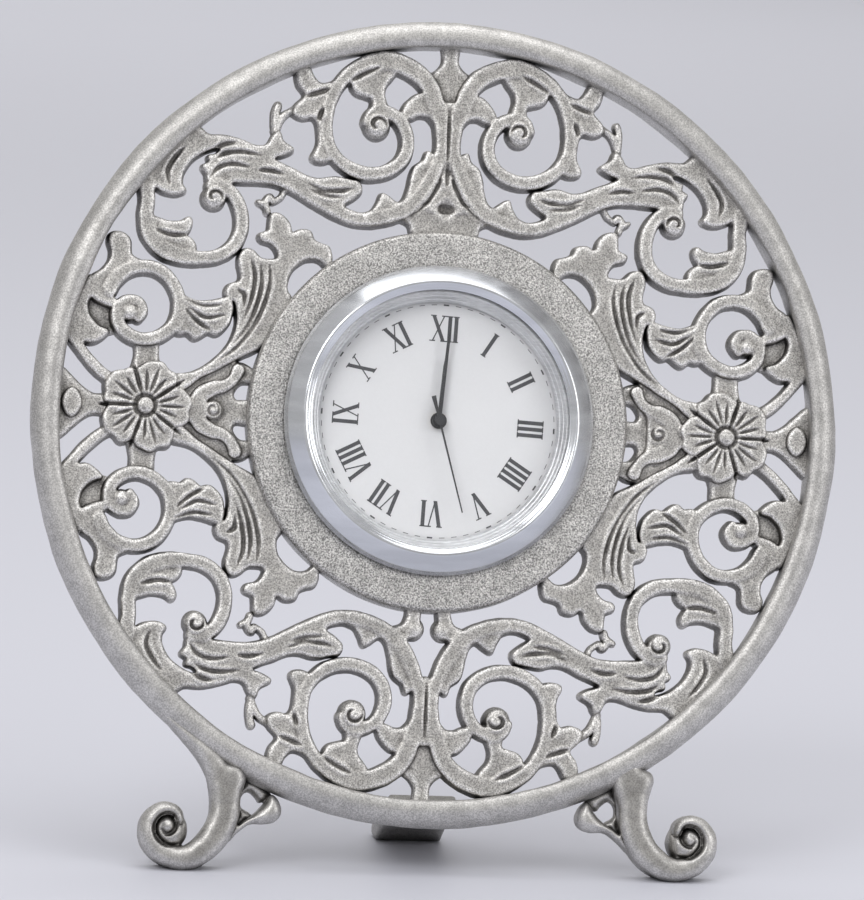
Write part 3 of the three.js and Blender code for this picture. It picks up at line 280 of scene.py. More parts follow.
SECOND_SCROLL = [
    (28.0, 26.4, 0.5), (26.6, 26.5, 0.6), (25.2, 25.6, 0.7), (24.2, 23.7, 0.75), (24.0, 21.5, 0.75),
    (24.8, 19.5, 0.75), (26.5, 18.2, 0.75), (28.5, 17.8, 0.75), (31.0, 17.8, 0.8), (33.2, 18.6, 0.9),
    (34.8, 20.3, 0.9), (35.3, 22.5, 0.8), (35.2, 24.5, 0.8), (35.5, 26.6, 0.9),
]
SECOND_BALL = (27.4, 25.0, 1.3)
SCROLL_LEAVES = [
    # leaf inside the great scroll
    [(6.9, 40.5), (7.6, 39.6), (7.8, 38.5), (7.4, 37.2), (7.4, 36.4), (9.1, 36.4), (9.2, 37.9),
     (9.8, 38.1), (11.3, 38.6), (11.8, 39.7), (11.4, 40.9), (9.6, 41.9), (7.6, 42.4), (6.2, 41.8)],
    # round lobe by the axis
    [(2.8, 38.9), (3.8, 38.8), (4.8, 38.0), (5.5, 36.9), (5.4, 35.9), (4.4, 35.8), (3.6, 36.2),
     (2.5, 36.1), (1.6, 35.2), (1.0, 35.4), (0.8, 37.1), (1.6, 38.5)],
    # tuft outside the great scroll: two lobes up to the rim and a spike below
    [(13.2, 40.4), (14.0, 39.7), (15.5, 39.4), (16.3, 40.2), (16.8, 41.1), (18.2, 41.0), (18.0, 39.1),
     (17.2, 37.9), (18.3, 36.6), (18.5, 35.6), (17.4, 35.0), (16.1, 35.2), (15.6, 34.5), (15.5, 33.8),
     (15.4, 32.1), (16.0, 30.4), (14.8, 30.0), (13.4, 30.6), (13.4, 31.6), (13.9, 33.7), (13.8, 36.3),
     (13.3, 38.3)],
    # leaf along the axis
    [(0.8, 32.5), (1.5, 31.6), (2.4, 32.1), (2.8, 31.0), (3.8, 30.2), (4.2, 29.2), (4.5, 27.6),
     (5.0, 26.2), (5.7, 25.7), (6.6, 26.3), (7.6, 26.8), (8.0, 25.8), (8.7, 24.6), (9.6, 24.1),
     (8.5, 23.2), (6.5, 23.6), (4.5, 24.8), (2.6, 26.8), (1.3, 29.0), (0.6, 31.0)],
    # long acanthus from the ring to the rim
    [(7.6, 23.1), (10.0, 22.7), (12.0, 23.1), (14.0, 24.0), (16.0, 25.0), (18.0, 26.1), (20.0, 26.9),
     (22.0, 27.1), (23.8, 27.0), (26.0, 26.9), (28.2, 26.9), (28.4, 27.9), (28.9, 28.7), (28.1, 29.2),
     (28.3, 29.9), (27.3, 30.2), (26.8, 30.8), (25.4, 31.25), (27.0, 31.05), (28.8, 30.4),
     (30.3, 29.2), (31.2, 27.6), (31.2, 26.4), (30.7, 25.7), (31.8, 25.15), (33.2, 25.3), (34.4, 26.0),
     (35.2, 27.4), (33.4, 29.8), (31.6, 31.7), (29.8, 33.4), (28.4, 32.5), (26.5, 32.5), (24.5, 32.1),
     (22.5, 31.5), (21.4, 31.7), (20.7, 32.9), (20.0, 33.3), (19.5, 32.2), (18.2, 31.3), (19.3, 30.6),
     (20.6, 30.1), (19.5, 29.5), (18.0, 28.9), (16.5, 28.2), (15.0, 28.0), (13.3, 28.4), (11.6, 28.1),
     (10.3, 27.8), (10.0, 26.8), (10.9, 25.9), (12.1, 25.0), (11.4, 24.5), (9.8, 24.2), (8.4, 24.6)],
    # lobes inside the second scroll
    [(34.6, 22.3), (32.5, 21.9), (31.0, 22.1), (30.2, 22.6), (29.8, 21.9), (30.1, 21.0), (30.5, 20.4),
     (29.8, 20.0), (29.2, 19.0), (29.6, 18.2), (31.0, 17.8), (33.2, 18.6), (34.8, 20.3)],
]
# thin flash left between the tuft and the acanthus, and a bent wire of it on the fan leaf
TIES = [
    [(18.2, 36.3, 0.25), (19.6, 35.3, 0.3), (20.5, 33.4, 0.3)],
    [(20.2, 36.6, 0.35), (20.5, 35.6, 0.3), (20.6, 34.0, 0.2)],
    [(18.9, 26.9, 0.17), (19.4, 25.7, 0.16), (20.4, 25.0, 0.17)],
    [(20.4, 25.0, 0.2), (20.7, 25.7, 0.2), (21.2, 25.2, 0.2), (20.9, 23.7, 0.25)],
    [(21.1, 24.4, 0.2), (22.1, 25.0, 0.17)],
]
AXIS_STEM = [
    (0.85, 45.0), (0.8, 43.0), (1.4, 42.0), (2.3, 41.2), (1.5, 39.4), (0.7, 37.6), (0.5, 36.0),
    (0.5, 31.0),
]
PALMETTE = [
    (0.6, 30.6), (1.4, 28.4), (2.7, 26.4), (4.2, 24.9), (5.6, 24.0), (4.2, 23.3), (3.7, 22.0),
]
LOWER_KNOB = (1.8, 24.4, 1.2)
KNOB_NECK = [(1.7, 21.9, 0.8), (1.8, 23.0, 0.75), (2.4, 24.6, 0.9), (4.2, 25.2, 0.8)]
SCROLL_VEINS = [
    [(22.0, 30.3), (24.4, 30.6), (26.3, 30.3), (27.4, 29.7)],
    [(19.3, 28.2), (20.9, 28.6), (22.4, 28.5)],
    [(23.2, 28.8), (25.3, 29.1), (27.0, 28.6), (28.0, 27.4)],
    [(11.2, 27.0), (12.4, 26.7), (14.4, 26.6), (16.4, 27.3)],
    [(12.4, 25.9), (14.4, 26.1), (16.2, 26.7)],
    [(25.0, 31.7), (26.4, 31.4), (27.5, 30.9)],
    [(31.1, 30.8), (32.3, 29.3), (33.0, 27.8), (32.7, 26.3)],
    [(30.3, 20.4), (32.0, 20.3), (34.0, 20.8)],
    [(8.4, 41.7), (10.1, 40.9), (11.9, 39.8)],
    [(14.4, 38.7), (15.9, 38.1), (17.1, 37.7)],
    [(15.0, 36.4), (15.6, 34.8)],
]
AXIS_SEAM = [(0, 30.4, 0.5), (0, 34.0, 0.5), (0, 37.6, 0.6)]
# depth and half width of each kind of chased line
VEIN_CUT = (0.32, 0.25)
EYE_CUT = (0.42, 0.2)
SEAM_CUT = (0.3, 0.17)
# the rib of the palmette, the arched hollow below it and the line along its sides
PALMETTE_VEINS = [
    ([(0.0, 30.6), (0.1, 27.9)], 0.4, 0.26),
    ([(0.1, 26.0), (0.1, 25.3), (0.1, 24.6)], 0.55, 0.9),
    ([(0.35, 30.6), (0.9, 28.3), (2.1, 26.2), (4.0, 24.3)], 0.28, 0.25),
    ([(-0.35, 30.6), (-0.9, 28.3), (-2.1, 26.2), (-4.0, 24.3)], 0.28, 0.25),
]


def fine_line(points, closed=False, parts=6):
    """A smooth line through drawn points."""
    drawn = np.array(points, float)
    if closed:
        drawn = np.vstack([drawn[-1:], drawn, drawn[:2]])
    else:
        drawn = np.vstack([2 * drawn[0] - drawn[1], drawn, 2 * drawn[-1] - drawn[-2]])
    fine = []
    for k in range(1, len(drawn) - 2):
        p = drawn[k - 1:k + 3]
        steps = [max(math.dist(a[:2], b[:2]), 1e-6) ** 0.5 for a, b in zip(p, p[1:])]
        k0, k1, k2, k3 = np.cumsum([0.0] + steps)
        for t in np.linspace(k1, k2, parts, endpoint=False):
            a1 = ((k1 - t) * p[0] + (t - k0) * p[1]) / (k1 - k0)
            a2 = ((k2 - t) * p[1] + (t - k1) * p[2]) / (k2 - k1)
            a3 = ((k3 - t) * p[2] + (t - k2) * p[3]) / (k3 - k2)
            b1 = ((k2 - t) * a1 + (t - k0) * a2) / (k2 - k0)
            b2 = ((k3 - t) * a2 + (t - k1) * a3) / (k3 - k1)
            fine.append(((k2 - t) * b1 + (t - k1) * b2) / (k2 - k1))
    if not closed:
        fine.append(drawn[-2])
    return np.array(fine)


def band(bm, line, high, side, low=WORK_BACK):
    """A stem with round ends, drawn on by one face that is extruded from station to station."""
    fine = fine_line(line)
    first, last = fine[0], fine[-1]
    start = (first[:2] - fine[1][:2]) / math.dist(first[:2], fine[1][:2])
    end = (last[:2] - fine[-2][:2]) / math.dist(last[:2], fine[-2][:2])
    # how far out and how wide the two stations of a round end are
    caps = ((0.75, 0.45), (0.45, 0.8))
    fine = np.vstack([
        [(*(first[:2] + start * first[2] * out), first[2] * narrow) for out, narrow in caps], fine,
        [(*(last[:2] + end * last[2] * out), last[2] * narrow) for out, narrow in caps[::-1]],
    ])
    ahead = np.gradient(fine[:, :2], axis=0)
    ahead /= np.linalg.norm(ahead, axis=1)[:, None]
    across = np.column_stack([-ahead[:, 1], ahead[:, 0]]) * fine[:, 2:3]
    face = None
    for left, right in zip((fine[:, :2] + across) * side, (fine[:, :2] - across) * side):
        corners = [(*left, low), (*left, high), (*right, high), (*right, low)]
        if face is None:
            face = bm.faces.new([bm.verts.new(p) for p in corners])
            back = face.copy()
            back.normal_flip()
        else:
            face = bmesh.ops.extrude_discrete_faces(bm, faces=[face])["faces"][0]
            for vert, p in zip(face.verts, corners):
                vert.co = p


def leaf(bm, points, high, side, low=WORK_BACK, parts=4):
    """A flat leaf of a drawn outline, extruded to its height."""
    fine = fine_line(points, closed=True, parts=parts) * side
    face = bm.faces.new([bm.verts.new((*p, low)) for p in fine])
    grown = bmesh.ops.extrude_face_region(bm, geom=[face])["geom"]
    bmesh.ops.translate(bm, verts=[g for g in grown if isinstance(g, bmesh.types.BMVert)],
                        vec=(0, 0, high - low))


def ball(bm, spot, high, side, low=WORK_BACK):
    """A round eye or boss with a domed top and an upright foot."""
    u, v, radius = spot
    rise = high - low
    place = Matrix.Translation((u * side[0], v * side[1], low + 0.7 * rise))
    dome = bmesh.ops.create_uvsphere(bm, u_segments=28, v_segments=14, radius=1.0)["verts"]
    bmesh.ops.scale(bm, vec=(radius, radius, 0.3 * rise), verts=dome)
    bmesh.ops.transform(bm, matrix=place, verts=dome)
    foot = bmesh.ops.create_cone(bm, cap_ends=True, segments=28, radius1=radius, radius2=radius,
                                 depth=0.7 * rise)["verts"]
    bmesh.ops.translate(bm, verts=foot, vec=(u * side[0], v * side[1], low + 0.35 * rise))
    for vert in dome:
        vert.co.z = max(vert.co.z, low)


def curl(spot, start, turns):
    """A groove that winds into a round eye, as points of its line."""
    u, v, radius = spot
    line = []
    for t in np.linspace(0, 1, 14):
        reach = radius * (0.78 - 0.56 * t)
        turn = math.radians(start + 360 * turns * t)
        line.append((u + reach * math.cos(turn), v + reach * math.sin(turn)))
    return line


def mirrored(line, side):
    """The points of a line in the half or quarter of the pattern that the signs of side name."""
    return [(u * side[0], v * side[1]) for u, v in line]


def cast(name, bm, veins, voxel=0.165, shoulder=0.24, turn=PATTERN_TURN, seed=0.0, draft=0.24,
         painted_wall_shade=1.0):
    """One casting from the forms in the bmesh: joined, rounded at every shoulder, chased with veins
    (points, depth, half width) that fade out at both ends, and left a little uneven. The walls spread
    towards the back by the draft that lets the pattern leave the sand."""
    bmesh.ops.recalc_face_normals(bm, faces=bm.faces)
    rough = bpy.data.objects.new(name + "_rough", as_mesh(name + "_rough", bm))
    bpy.context.scene.collection.objects.link(rough)
    joined = rough.modifiers.new("joined", "REMESH")
    joined.mode = "VOXEL"
    joined.voxel_size = voxel
    graph = bpy.context.evaluated_depsgraph_get()
    mesh = bpy.data.meshes.new_from_object(rough.evaluated_get(graph))
    mesh.name = name
    bpy.data.objects.remove(rough)
    pairs = neighbours_of(mesh)
    co, way = eased(points_of(mesh), pairs, 1), normals_of(mesh)
    # what looks forward, the upright walls clear of the back, and all that shows from the front
    up = way[:, 2]
    front = np.flatnonzero(up > 0.55)
    walls = np.flatnonzero((np.abs(up) < 0.4) & (co[:, 2] > 1.0))
    tree = kdtree.KDTree(len(walls))
    for k in walls:
        tree.insert((co[k, 0], co[k, 1], 0), k)
    tree.balance()
    seen = np.flatnonzero(up > -0.3)
    # near a wall the front falls off in a quarter round, less so on low forms
    away = np.array([tree.find((x, y, 0))[2] for x, y in co[seen, :2]])
    inside = np.clip(shoulder - away, 0, shoulder)
    high = np.clip((co[seen, 2] - 0.6) / 1.8, 0, 1)
    co[seen, 2] -= high * (shoulder - np.sqrt(shoulder ** 2 - (0.96 * inside) ** 2))
    co = eased(co, pairs, 1)
    spread = 0.06 + draft * np.clip((2.8 - co[:, 2]) / 2.2, 0, 1)
    co[:, :2] += way[:, :2] * spread[:, None]
    for points, depth, half in veins:
        line = fine_line(points, parts=10)
        near = front[(np.abs(co[front, :2] - line[:, :2].mean(axis=0)).max(axis=1)
                      < 2.0 + np.ptp(line[:, :2], axis=0).max())]
        # cut deepest and widest at the middle of the line, with a lip pushed up on both sides
        gaps = np.linalg.norm(co[near, None, :2] - line[None, :, :2], axis=2)
        gap = gaps.min(axis=1)
        fade = 1 - np.abs(2 * gaps.argmin(axis=1) / (len(line) - 1) - 1) ** 3
        if math.dist(line[0, :2], line[-1, :2]) < half:
            fade = np.ones(len(near))
        wide = half * (0.45 + 0.55 * fade)
        lips = 0.3 * np.exp(-((gap - 2 * wide) / (0.8 * wide)) ** 2)
        co[near, 2] += depth * (0.3 + 0.7 * fade) * (lips - np.exp(-(gap / wide) ** 4))
    co[:, 2] = np.where(up < -0.9, co[:, 2].min(), co[:, 2])
    mesh.vertices.foreach_set("co", co.ravel())
    uneven(mesh, size=1.1, depth=0.05, seed=seed)
    uneven(mesh, size=4.0, depth=0.08, seed=seed + 5.0)
    mesh.transform(Matrix.Rotation(turn, 4, "Z"))
    # the walls are marked low here: painted shade, strongest on the openwork and weakest on the feet
    mark_relief(mesh, painted_wall_shade=painted_wall_shade)
    return mesh


# the line that winds into each eye, so that the band seems to roll up in it
EYE_GROOVES = [curl(GREAT_BALL, 185, -0.75), curl(SECOND_BALL, 200, -0.75)]

work_finish = pewter("openwork_pewter", grain=5600.0, speck=0.42, bump=0.95, light=0.92, rough=0.42)
for name, up in (("top_scrolls", 1), ("bottom_scrolls", -1)):
    bm = bmesh.new()
    band(bm, AXIS_SEAM, LEAF_N, (1, up))
    veins = [(mirrored([station[:2] for station in AXIS_SEAM], (1, up)), *SEAM_CUT)]
    veins += PALMETTE_VEINS if up > 0 else []
    for side in ((1, up), (-1, up)):
        band(bm, GREAT_SCROLL, BAND_N, side)
        band(bm, SECOND_SCROLL, BAND_N, side)
        ball(bm, GREAT_BALL, BALL_N, side)
        ball(bm, SECOND_BALL, BALL_N, side)
        for line in TIES:
            band(bm, line, LOW_N, side)
        for points in SCROLL_LEAVES:
            leaf(bm, points, LEAF_N, side)
        veins += [(mirrored(line, side), *VEIN_CUT) for line in SCROLL_VEINS]
        veins += [(mirrored(line, side), *EYE_CUT) for line in EYE_GROOVES]
        if up < 0:
            ball(bm, LOWER_KNOB, BAND_N, side)
            band(bm, KNOB_NECK, LEAF_N, side)
    leaf(bm, AXIS_STEM + mirrored(AXIS_STEM[::-1], (-1, 1)), LOW_N, (1, up))
    if up > 0:
        leaf(bm, PALMETTE + mirrored(PALMETTE[::-1], (-1, 1)), PALMETTE_N, (1, up))
    mesh = cast(name, bm, veins, voxel=0.187, seed=11.0 * up)
    node = "top_scroll_panel" if up > 0 else "bottom_scroll_panel"
    finished(name, mesh, work_finish, "frame", "pewter", node)

# Flower panels, left and right of the ring. A five-petalled flower on the level line, between fan
# leaves that spring from the ring and small scrolls that lean on the rim. Cast and chased like the rest.
PETAL_N = 3.5
BUTTON_N = 4.1
HOOK_BOSS_N = 3.25
HOOK_LEAF_N = 2.93
FLOWER_WEB_N = 1.7
FLOWER_LEAVES = [
    # fan leaf with its three-lobed tip
    [(32.5, 3.2), (31.0, 3.9), (29.0, 4.3), (27.0, 5.5), (25.2, 7.3), (24.2, 9.5), (24.1, 11.5),
     (24.5, 13.0), (25.5, 13.6), (25.2, 14.8), (24.0, 15.4), (23.9, 16.2), (24.2, 18.0), (23.5, 19.2),
     (22.5, 19.0), (21.6, 18.2), (20.5, 18.1), (19.6, 18.3), (19.8, 19.3), (20.5, 20.0), (21.6, 20.3),
     (21.9, 21.0), (20.8, 21.5), (20.7, 22.3), (20.5, 23.5), (19.5, 23.5), (18.4, 22.5), (18.0, 21.3),
     (17.0, 21.8), (15.8, 21.6), (15.4, 20.7), (14.5, 20.3), (13.6, 20.0), (13.2, 18.9), (13.4, 17.4),
     (14.6, 18.35), (16.0, 18.4), (17.3, 17.6), (18.2, 16.2), (18.3, 14.6), (17.7, 13.6), (18.6, 12.0),
     (19.8, 10.0), (20.8, 8.0), (21.6, 7.3), (23.2, 6.5), (24.6, 5.7), (26.2, 4.7), (28.2, 3.6),
     (30.5, 2.0)],
    # fluted leaf that meets it
    [(31.6, 14.0), (30.5, 13.3), (28.9, 12.7), (27.1, 12.8), (25.1, 13.2), (24.6, 12.2), (24.7, 11.2),
     (25.0, 10.2), (26.4, 8.9), (27.4, 9.1), (28.2, 8.5), (29.0, 8.2), (29.8, 8.8), (30.8, 8.7),
     (32.0, 9.4), (31.2, 11.4)],
    # leaf that climbs to the rim, and the leaf along the rim
    [(36.9, 18.6), (37.0, 19.5), (37.7, 20.2), (39.2, 20.2), (39.5, 19.2), (39.2, 18.1), (39.3, 17.0),
     (40.1, 15.8), (41.2, 15.0), (41.5, 13.9), (41.2, 12.5), (39.7, 11.7), (38.4, 11.5), (38.1, 12.0),
     (39.2, 13.0), (39.1, 14.3), (38.2, 15.4), (36.8, 16.1), (35.6, 16.2), (35.6, 17.0), (36.7, 17.6)],
    [(41.4, 15.1), (42.8, 12.4), (44.0, 8.4), (43.4, 7.6), (42.6, 7.5), (40.9, 7.1), (39.6, 7.8),
     (39.0, 8.6), (40.2, 9.1), (41.3, 10.3), (41.6, 11.7), (41.2, 12.8)],
]
FLOWER_WEB = [
    (38.0, 9.0), (38.4, 11.6), (39.7, 12.0), (41.2, 12.8), (41.8, 11.7), (41.5, 10.2), (40.3, 8.9),
    (39.0, 8.4),
]
THIRD_SCROLL = [
    (35.7, 10.2, 0.45), (35.1, 11.2, 0.5), (35.7, 12.3, 0.52), (37.0, 12.3, 0.58), (38.1, 11.2, 0.62),
    (38.0, 9.7, 0.68), (37.0, 8.5, 0.7), (35.0, 7.8, 0.7), (32.9, 8.4, 0.7), (31.3, 10.0, 0.7),
    (30.9, 12.3, 0.7), (31.6, 14.4, 0.7), (33.1, 15.9, 0.7), (35.0, 16.4, 0.7), (37.0, 15.9, 0.7),
    (38.5, 14.6, 0.75), (39.1, 13.3, 0.7),
]
THIRD_BALL = (36.6, 10.9, 0.95)
NECK = [(34.4, 7.2, 1.35), (34.4, 6.2, 1.3), (34.4, 4.2, 1.7)]
STRAND = [(37.8, 2.6, 0.6), (39.6, 3.7, 0.55), (41.2, 5.2, 0.55), (42.6, 6.9, 0.55), (43.8, 8.4, 0.6)]
HOOK_PLATE = [
    (21.8, 1.2), (23.8, 1.35), (24.1, 2.2), (23.2, 3.4), (21.9, 3.6), (21.6, 4.6), (22.9, 5.6),
    (24.6, 5.6), (27.0, 4.3), (31.6, 2.4),
]
# the hook of the right panel is a full leaf, that of the left panel an open curl
HOOK_LEAF = [
    (23.6, 5.2), (25.2, 3.4), (27.4, 2.6), (28.8, 1.0), (28.8, -1.0), (27.4, -2.6), (25.2, -3.4),
    (23.6, -5.2), (24.4, -3.0), (25.0, -1.6), (25.0, 0), (25.0, 1.6), (24.4, 3.0),
]
HOOK_BOSS = (26.4, 0, 1.05)
HOOK_CURL = [
    (23.6, 4.9, 0.75), (24.1, 3.8, 0.6), (25.1, 2.9, 0.65), (26.5, 2.5, 0.8), (27.9, 1.6, 0.9),
    (28.4, 0, 0.95), (27.9, -1.6, 0.9), (26.5, -2.5, 0.8), (25.1, -2.9, 0.65), (24.1, -3.8, 0.6),
    (23.6, -4.9, 0.75),
]
FLOWER_AT = (34.4, 0)
FLOWER_R = 5.35
FLOWER_NOTCH = 3.9
FLOWER_BUTTON_R = 1.1
PETALS = (36, 108, 180, 252, 324)
# lean and far end of the three lines on each petal
PETAL_RAYS = ((-17, 4.2), (0, 4.7), (17, 4.0))
BUD_NECK = [(38.2, 1.0), (40.4, 1.1), (41.8, 1.9), (43.0, 3.0), (44.6, 4.2), (44.8, 0)]
BUD = [
    (42.9, 1.7), (43.7, 1.2), (44.1, 0), (43.7, -1.2), (42.9, -1.7), (42.1, -1.0), (41.8, 0), (42.1, 1.0),
]
FLOWER_VEINS = [
    [(20.5, 17.4), (20.4, 15.3), (21.0, 12.7), (22.0, 10.4), (24.0, 7.5), (26.5, 5.5)],
    [(21.6, 17.5), (21.4, 15.3), (21.8, 12.7), (22.8, 10.0), (25.0, 7.1)],
    [(22.8, 18.2), (22.2, 16.1), (22.4, 13.8), (23.2, 11.0)],
    [(24.2, 14.3), (23.4, 13.8), (23.3, 12.2)],
    [(25.9, 12.4), (28.1, 12.2), (30.5, 13.0)],
    [(25.5, 11.2), (27.8, 10.8), (29.7, 11.8)],
    [(26.8, 9.1), (28.6, 10.2), (30.1, 11.6)],
]
FAN_CUT = (0.32, 0.23)
ROUND_CUT = (0.25, 0.2)
NOTCH_CUT = (0.45, 0.2)
PETAL_CUT = (0.26, 0.17)


def ray(middle, turn, start, end, bend=0.0):
    """A short line out of a flower's middle, bent a little to one side."""
    return [(middle[0] + r * math.cos(math.radians(turn + bend * r)),
             middle[1] + r * math.sin(math.radians(turn + bend * r)))
            for r in np.linspace(start, end, 4)]


def ray_ring(middle, radius):
    """A closed line round a flower's button."""
    return [(middle[0] + radius * math.cos(t), middle[1] + radius * math.sin(t))
            for t in np.linspace(0, 2 * math.pi, 17)]


flower_line = []
for turn in range(0, 360, 4):
    swell = math.sqrt(abs(math.cos(math.radians(2.5 * (turn - 180)))))
    ragged = 0.14 * math.sin(math.radians(11 * turn + 40)) + 0.1 * math.sin(math.radians(17 * turn))
    reach = FLOWER_NOTCH + (FLOWER_R - FLOWER_NOTCH) * swell + ragged
    flower_line.append((FLOWER_AT[0] + reach * math.cos(math.radians(turn)),
                        FLOWER_AT[1] + reach * math.sin(math.radians(turn))))

for name, across in (("left_flower", -1), ("right_flower", 1)):
    bm = bmesh.new()
    level = (across, 1)
    leaf(bm, flower_line, PETAL_N, level, parts=1)
    ball(bm, (*FLOWER_AT, FLOWER_BUTTON_R), BUTTON_N, level)
    leaf(bm, HOOK_PLATE + mirrored(HOOK_PLATE[::-1], (1, -1)), LOW_N, level)
    band(bm, HOOK_CURL, LEAF_N, level)
    ball(bm, HOOK_BOSS, HOOK_BOSS_N, level)
    if across > 0:
        leaf(bm, HOOK_LEAF, HOOK_LEAF_N, level)
    leaf(bm, BUD_NECK + mirrored(BUD_NECK[::-1], (1, -1)), LOW_N, level)
    leaf(bm, BUD, BAND_N, level)
    rounds = [curl(HOOK_BOSS, 120, 1.2), ray_ring(FLOWER_AT, FLOWER_BUTTON_R + 0.12)]
    veins = [(mirrored(line, level), *ROUND_CUT) for line in rounds]
    for petal in PETALS:
        notch = ray(FLOWER_AT, petal + 36, 1.0, FLOWER_NOTCH + 1.6)
        veins.append((mirrored(notch, level), *NOTCH_CUT))
        for lean, far in PETAL_RAYS:
            line = ray(FLOWER_AT, petal + lean * 0.75, 1.35, far, bend=lean * 0.08)
            veins.append((mirrored(line, level), *PETAL_CUT))
    for side in ((across, 1), (across, -1)):
        band(bm, THIRD_SCROLL, BAND_N, side)
        ball(bm, THIRD_BALL, BALL_N, side)
        band(bm, NECK, LOW_N, side)
        band(bm, STRAND, LEAF_N, side)
        leaf(bm, FLOWER_WEB, FLOWER_WEB_N, side)
        for points in FLOWER_LEAVES:
            leaf(bm, points, LEAF_N, side)
        veins += [(mirrored(line, side), *FAN_CUT) for line in FLOWER_VEINS]
    mesh = cast(name, bm, veins, seed=31.0 * across)
    finished(name, mesh, work_finish, "frame", "pewter", name + "_panel")

# Front feet. Two S-scrolls with a volute at the toe and a bud at the inner side, cast with the rim and
# polished by handling. Each is cut flat where it stands.
FOOT_BACK = 0.6
FOOT_FRONT = 4.4
SPUR_FRONT = 3.8
WEB_FRONT = 2.4
FOOT_TURN = math.radians(29.4)
FOOT_ROOT = np.array((RIM_R * math.sin(FOOT_TURN), -RIM_R * math.cos(FOOT_TURN)))
FOOT_STEM = [
    (-0.44, 1.45, 1.75), (-0.1, -0.55, 1.75), (0.4, -2.8, 1.65), (0.6, -5.1, 1.65), (1.5, -7.3, 1.6),
    (3.0, -9.1, 1.5), (4.9, -10.2, 1.35), (6.8, -10.1, 1.2), (8.4, -9.3, 1.05), (9.4, -7.9, 0.95),
    (9.5, -6.3, 0.85), (8.7, -5.0, 0.75), (7.3, -4.45, 0.65), (6.1, -4.9, 0.55), (5.7, -5.9, 0.45),
]
# the left foot runs on along the rim for longer than the right one, and its stem grows out of that run
FOOT_FLOW = [
    (7.6, 6.2, 0.3), (5.2, 4.1, 0.7), (3.1, 2.2, 1.05), (1.6, 0.3, 1.35), (0.8, -1.7, 1.55),
    (0.5, -3.6, 1.6),
]
# first station of each, for the left and the right foot
FLOW_START = {-1: 0, 1: 3}
STEM_START = {-1: 1, 1: 0}
FOOT_SPUR = [
    (0.2, -7.6), (-1.5, -6.0), (-2.85, -5.0), (-4.2, -3.6), (-4.9, -2.6), (-5.7, -3.3), (-6.1, -4.6),
    (-5.5, -5.6), (-4.3, -5.95), (-2.6, -5.95), (-1.4, -6.7), (0.2, -8.2),
]
FOOT_WEB = [
    (-1.0, -0.6), (-4.9, -2.4), (-3.6, -3.5), (-3.2, -3.0), (-2.3, -2.3), (-1.6, -2.7), (-1.4, -4.1),
    (-2.6, -5.0), (-0.8, -6.2), (-0.4, -3.4),
]
VOLUTE = (7.2, -6.9, 2.4)
VOLUTE_BALL = (7.15, -6.5, 0.75)
VOLUTE_GROOVE = [
    (5.9, -8.55), (7.2, -8.75), (8.3, -7.9), (8.6, -6.6), (7.9, -5.5), (6.9, -5.3), (6.3, -6.1),
    (6.5, -7.1), (7.3, -7.5), (7.9, -6.9),
]
VOLUTE_CUT = (0.6, 0.3)


def at_root(points):
    """Points of a foot, moved from its root to their place on the disc."""
    return [(u + FOOT_ROOT[0], v + FOOT_ROOT[1], *half) for u, v, *half in points]


foot_finish = pewter("foot_pewter", grain=5400.0, speck=0.22, bump=0.4, light=0.72, rough=0.42)
for name, across in (("left_foot", -1), ("right_foot", 1)):
    side = (across, 1)
    bm = bmesh.new()
    for line in (FOOT_STEM[STEM_START[across]:], FOOT_FLOW[FLOW_START[across]:]):
        band(bm, at_root(line), FOOT_FRONT, side, FOOT_BACK)
    for line, high in ((FOOT_SPUR, SPUR_FRONT), (FOOT_WEB, WEB_FRONT)):
        leaf(bm, at_root(line), high, side, FOOT_BACK)
    for spot, high in ((VOLUTE, FOOT_FRONT - 0.35), (VOLUTE_BALL, FOOT_FRONT)):
        ball(bm, at_root([spot])[0], high, side, FOOT_BACK)
    groove = mirrored(at_root(VOLUTE_GROOVE), side)
    mesh = cast(name, bm, [(groove, *VOLUTE_CUT)], voxel=0.18, shoulder=1.15, turn=0.0,
                seed=53.0 * across, draft=0.0, painted_wall_shade=0.1)
    mesh.transform(DISC)
    low = points_of(mesh)
    low[:, 2] = np.maximum(low[:, 2], 0)
    mesh.vertices.foreach_set("co", low.ravel())
    finished(name, mesh, foot_finish, "frame", "pewter", name.replace("_", "_front_"), place=Matrix())

# Rear foot. A low tongue of pewter soldered behind the rim at the bottom, which stops the disc from
# leaning further. Plainly filed, and never meant to be seen.
REAR_ROUND = 0.45

rear_bm = bmesh.new()
rear_bm.from_mesh(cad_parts["rear_foot"].data)
bmesh.ops.remove_doubles(rear_bm, verts=rear_bm.verts, dist=1e-6)
bmesh.ops.dissolve_limit(rear_bm, angle_limit=math.radians(1), verts=rear_bm.verts, edges=rear_bm.edges)
bmesh.ops.bevel(rear_bm, geom=rear_bm.edges[:], offset=REAR_ROUND * MM, affect="EDGES", segments=3,
                profile=0.5, material=-1)
rear_mesh = as_mesh("rear_leg", rear_bm)
finished("rear_leg", rear_mesh, foot_finish, "frame", "pewter", "rear_foot", place=Matrix())

# Case of the insert. A cup turned from steel, with a ledge inside for the dial, pressed into the hole
# with a ring of black rubber around it. Both show only from behind, or when the insert is pulled out.
CASE_SECTION = [
    (15.0, -5.6), (16.2, -5.6), (16.2, 5.2), (15.0, 5.2), (15.0, 2.9), (13.6, 2.9), (13.6, 1.2),
    (15.0, 1.2),
]
GRIP_SECTION = [(16.5, 0.5), (17.2, 0.5), (17.2, 3.0), (16.5, 3.0)]


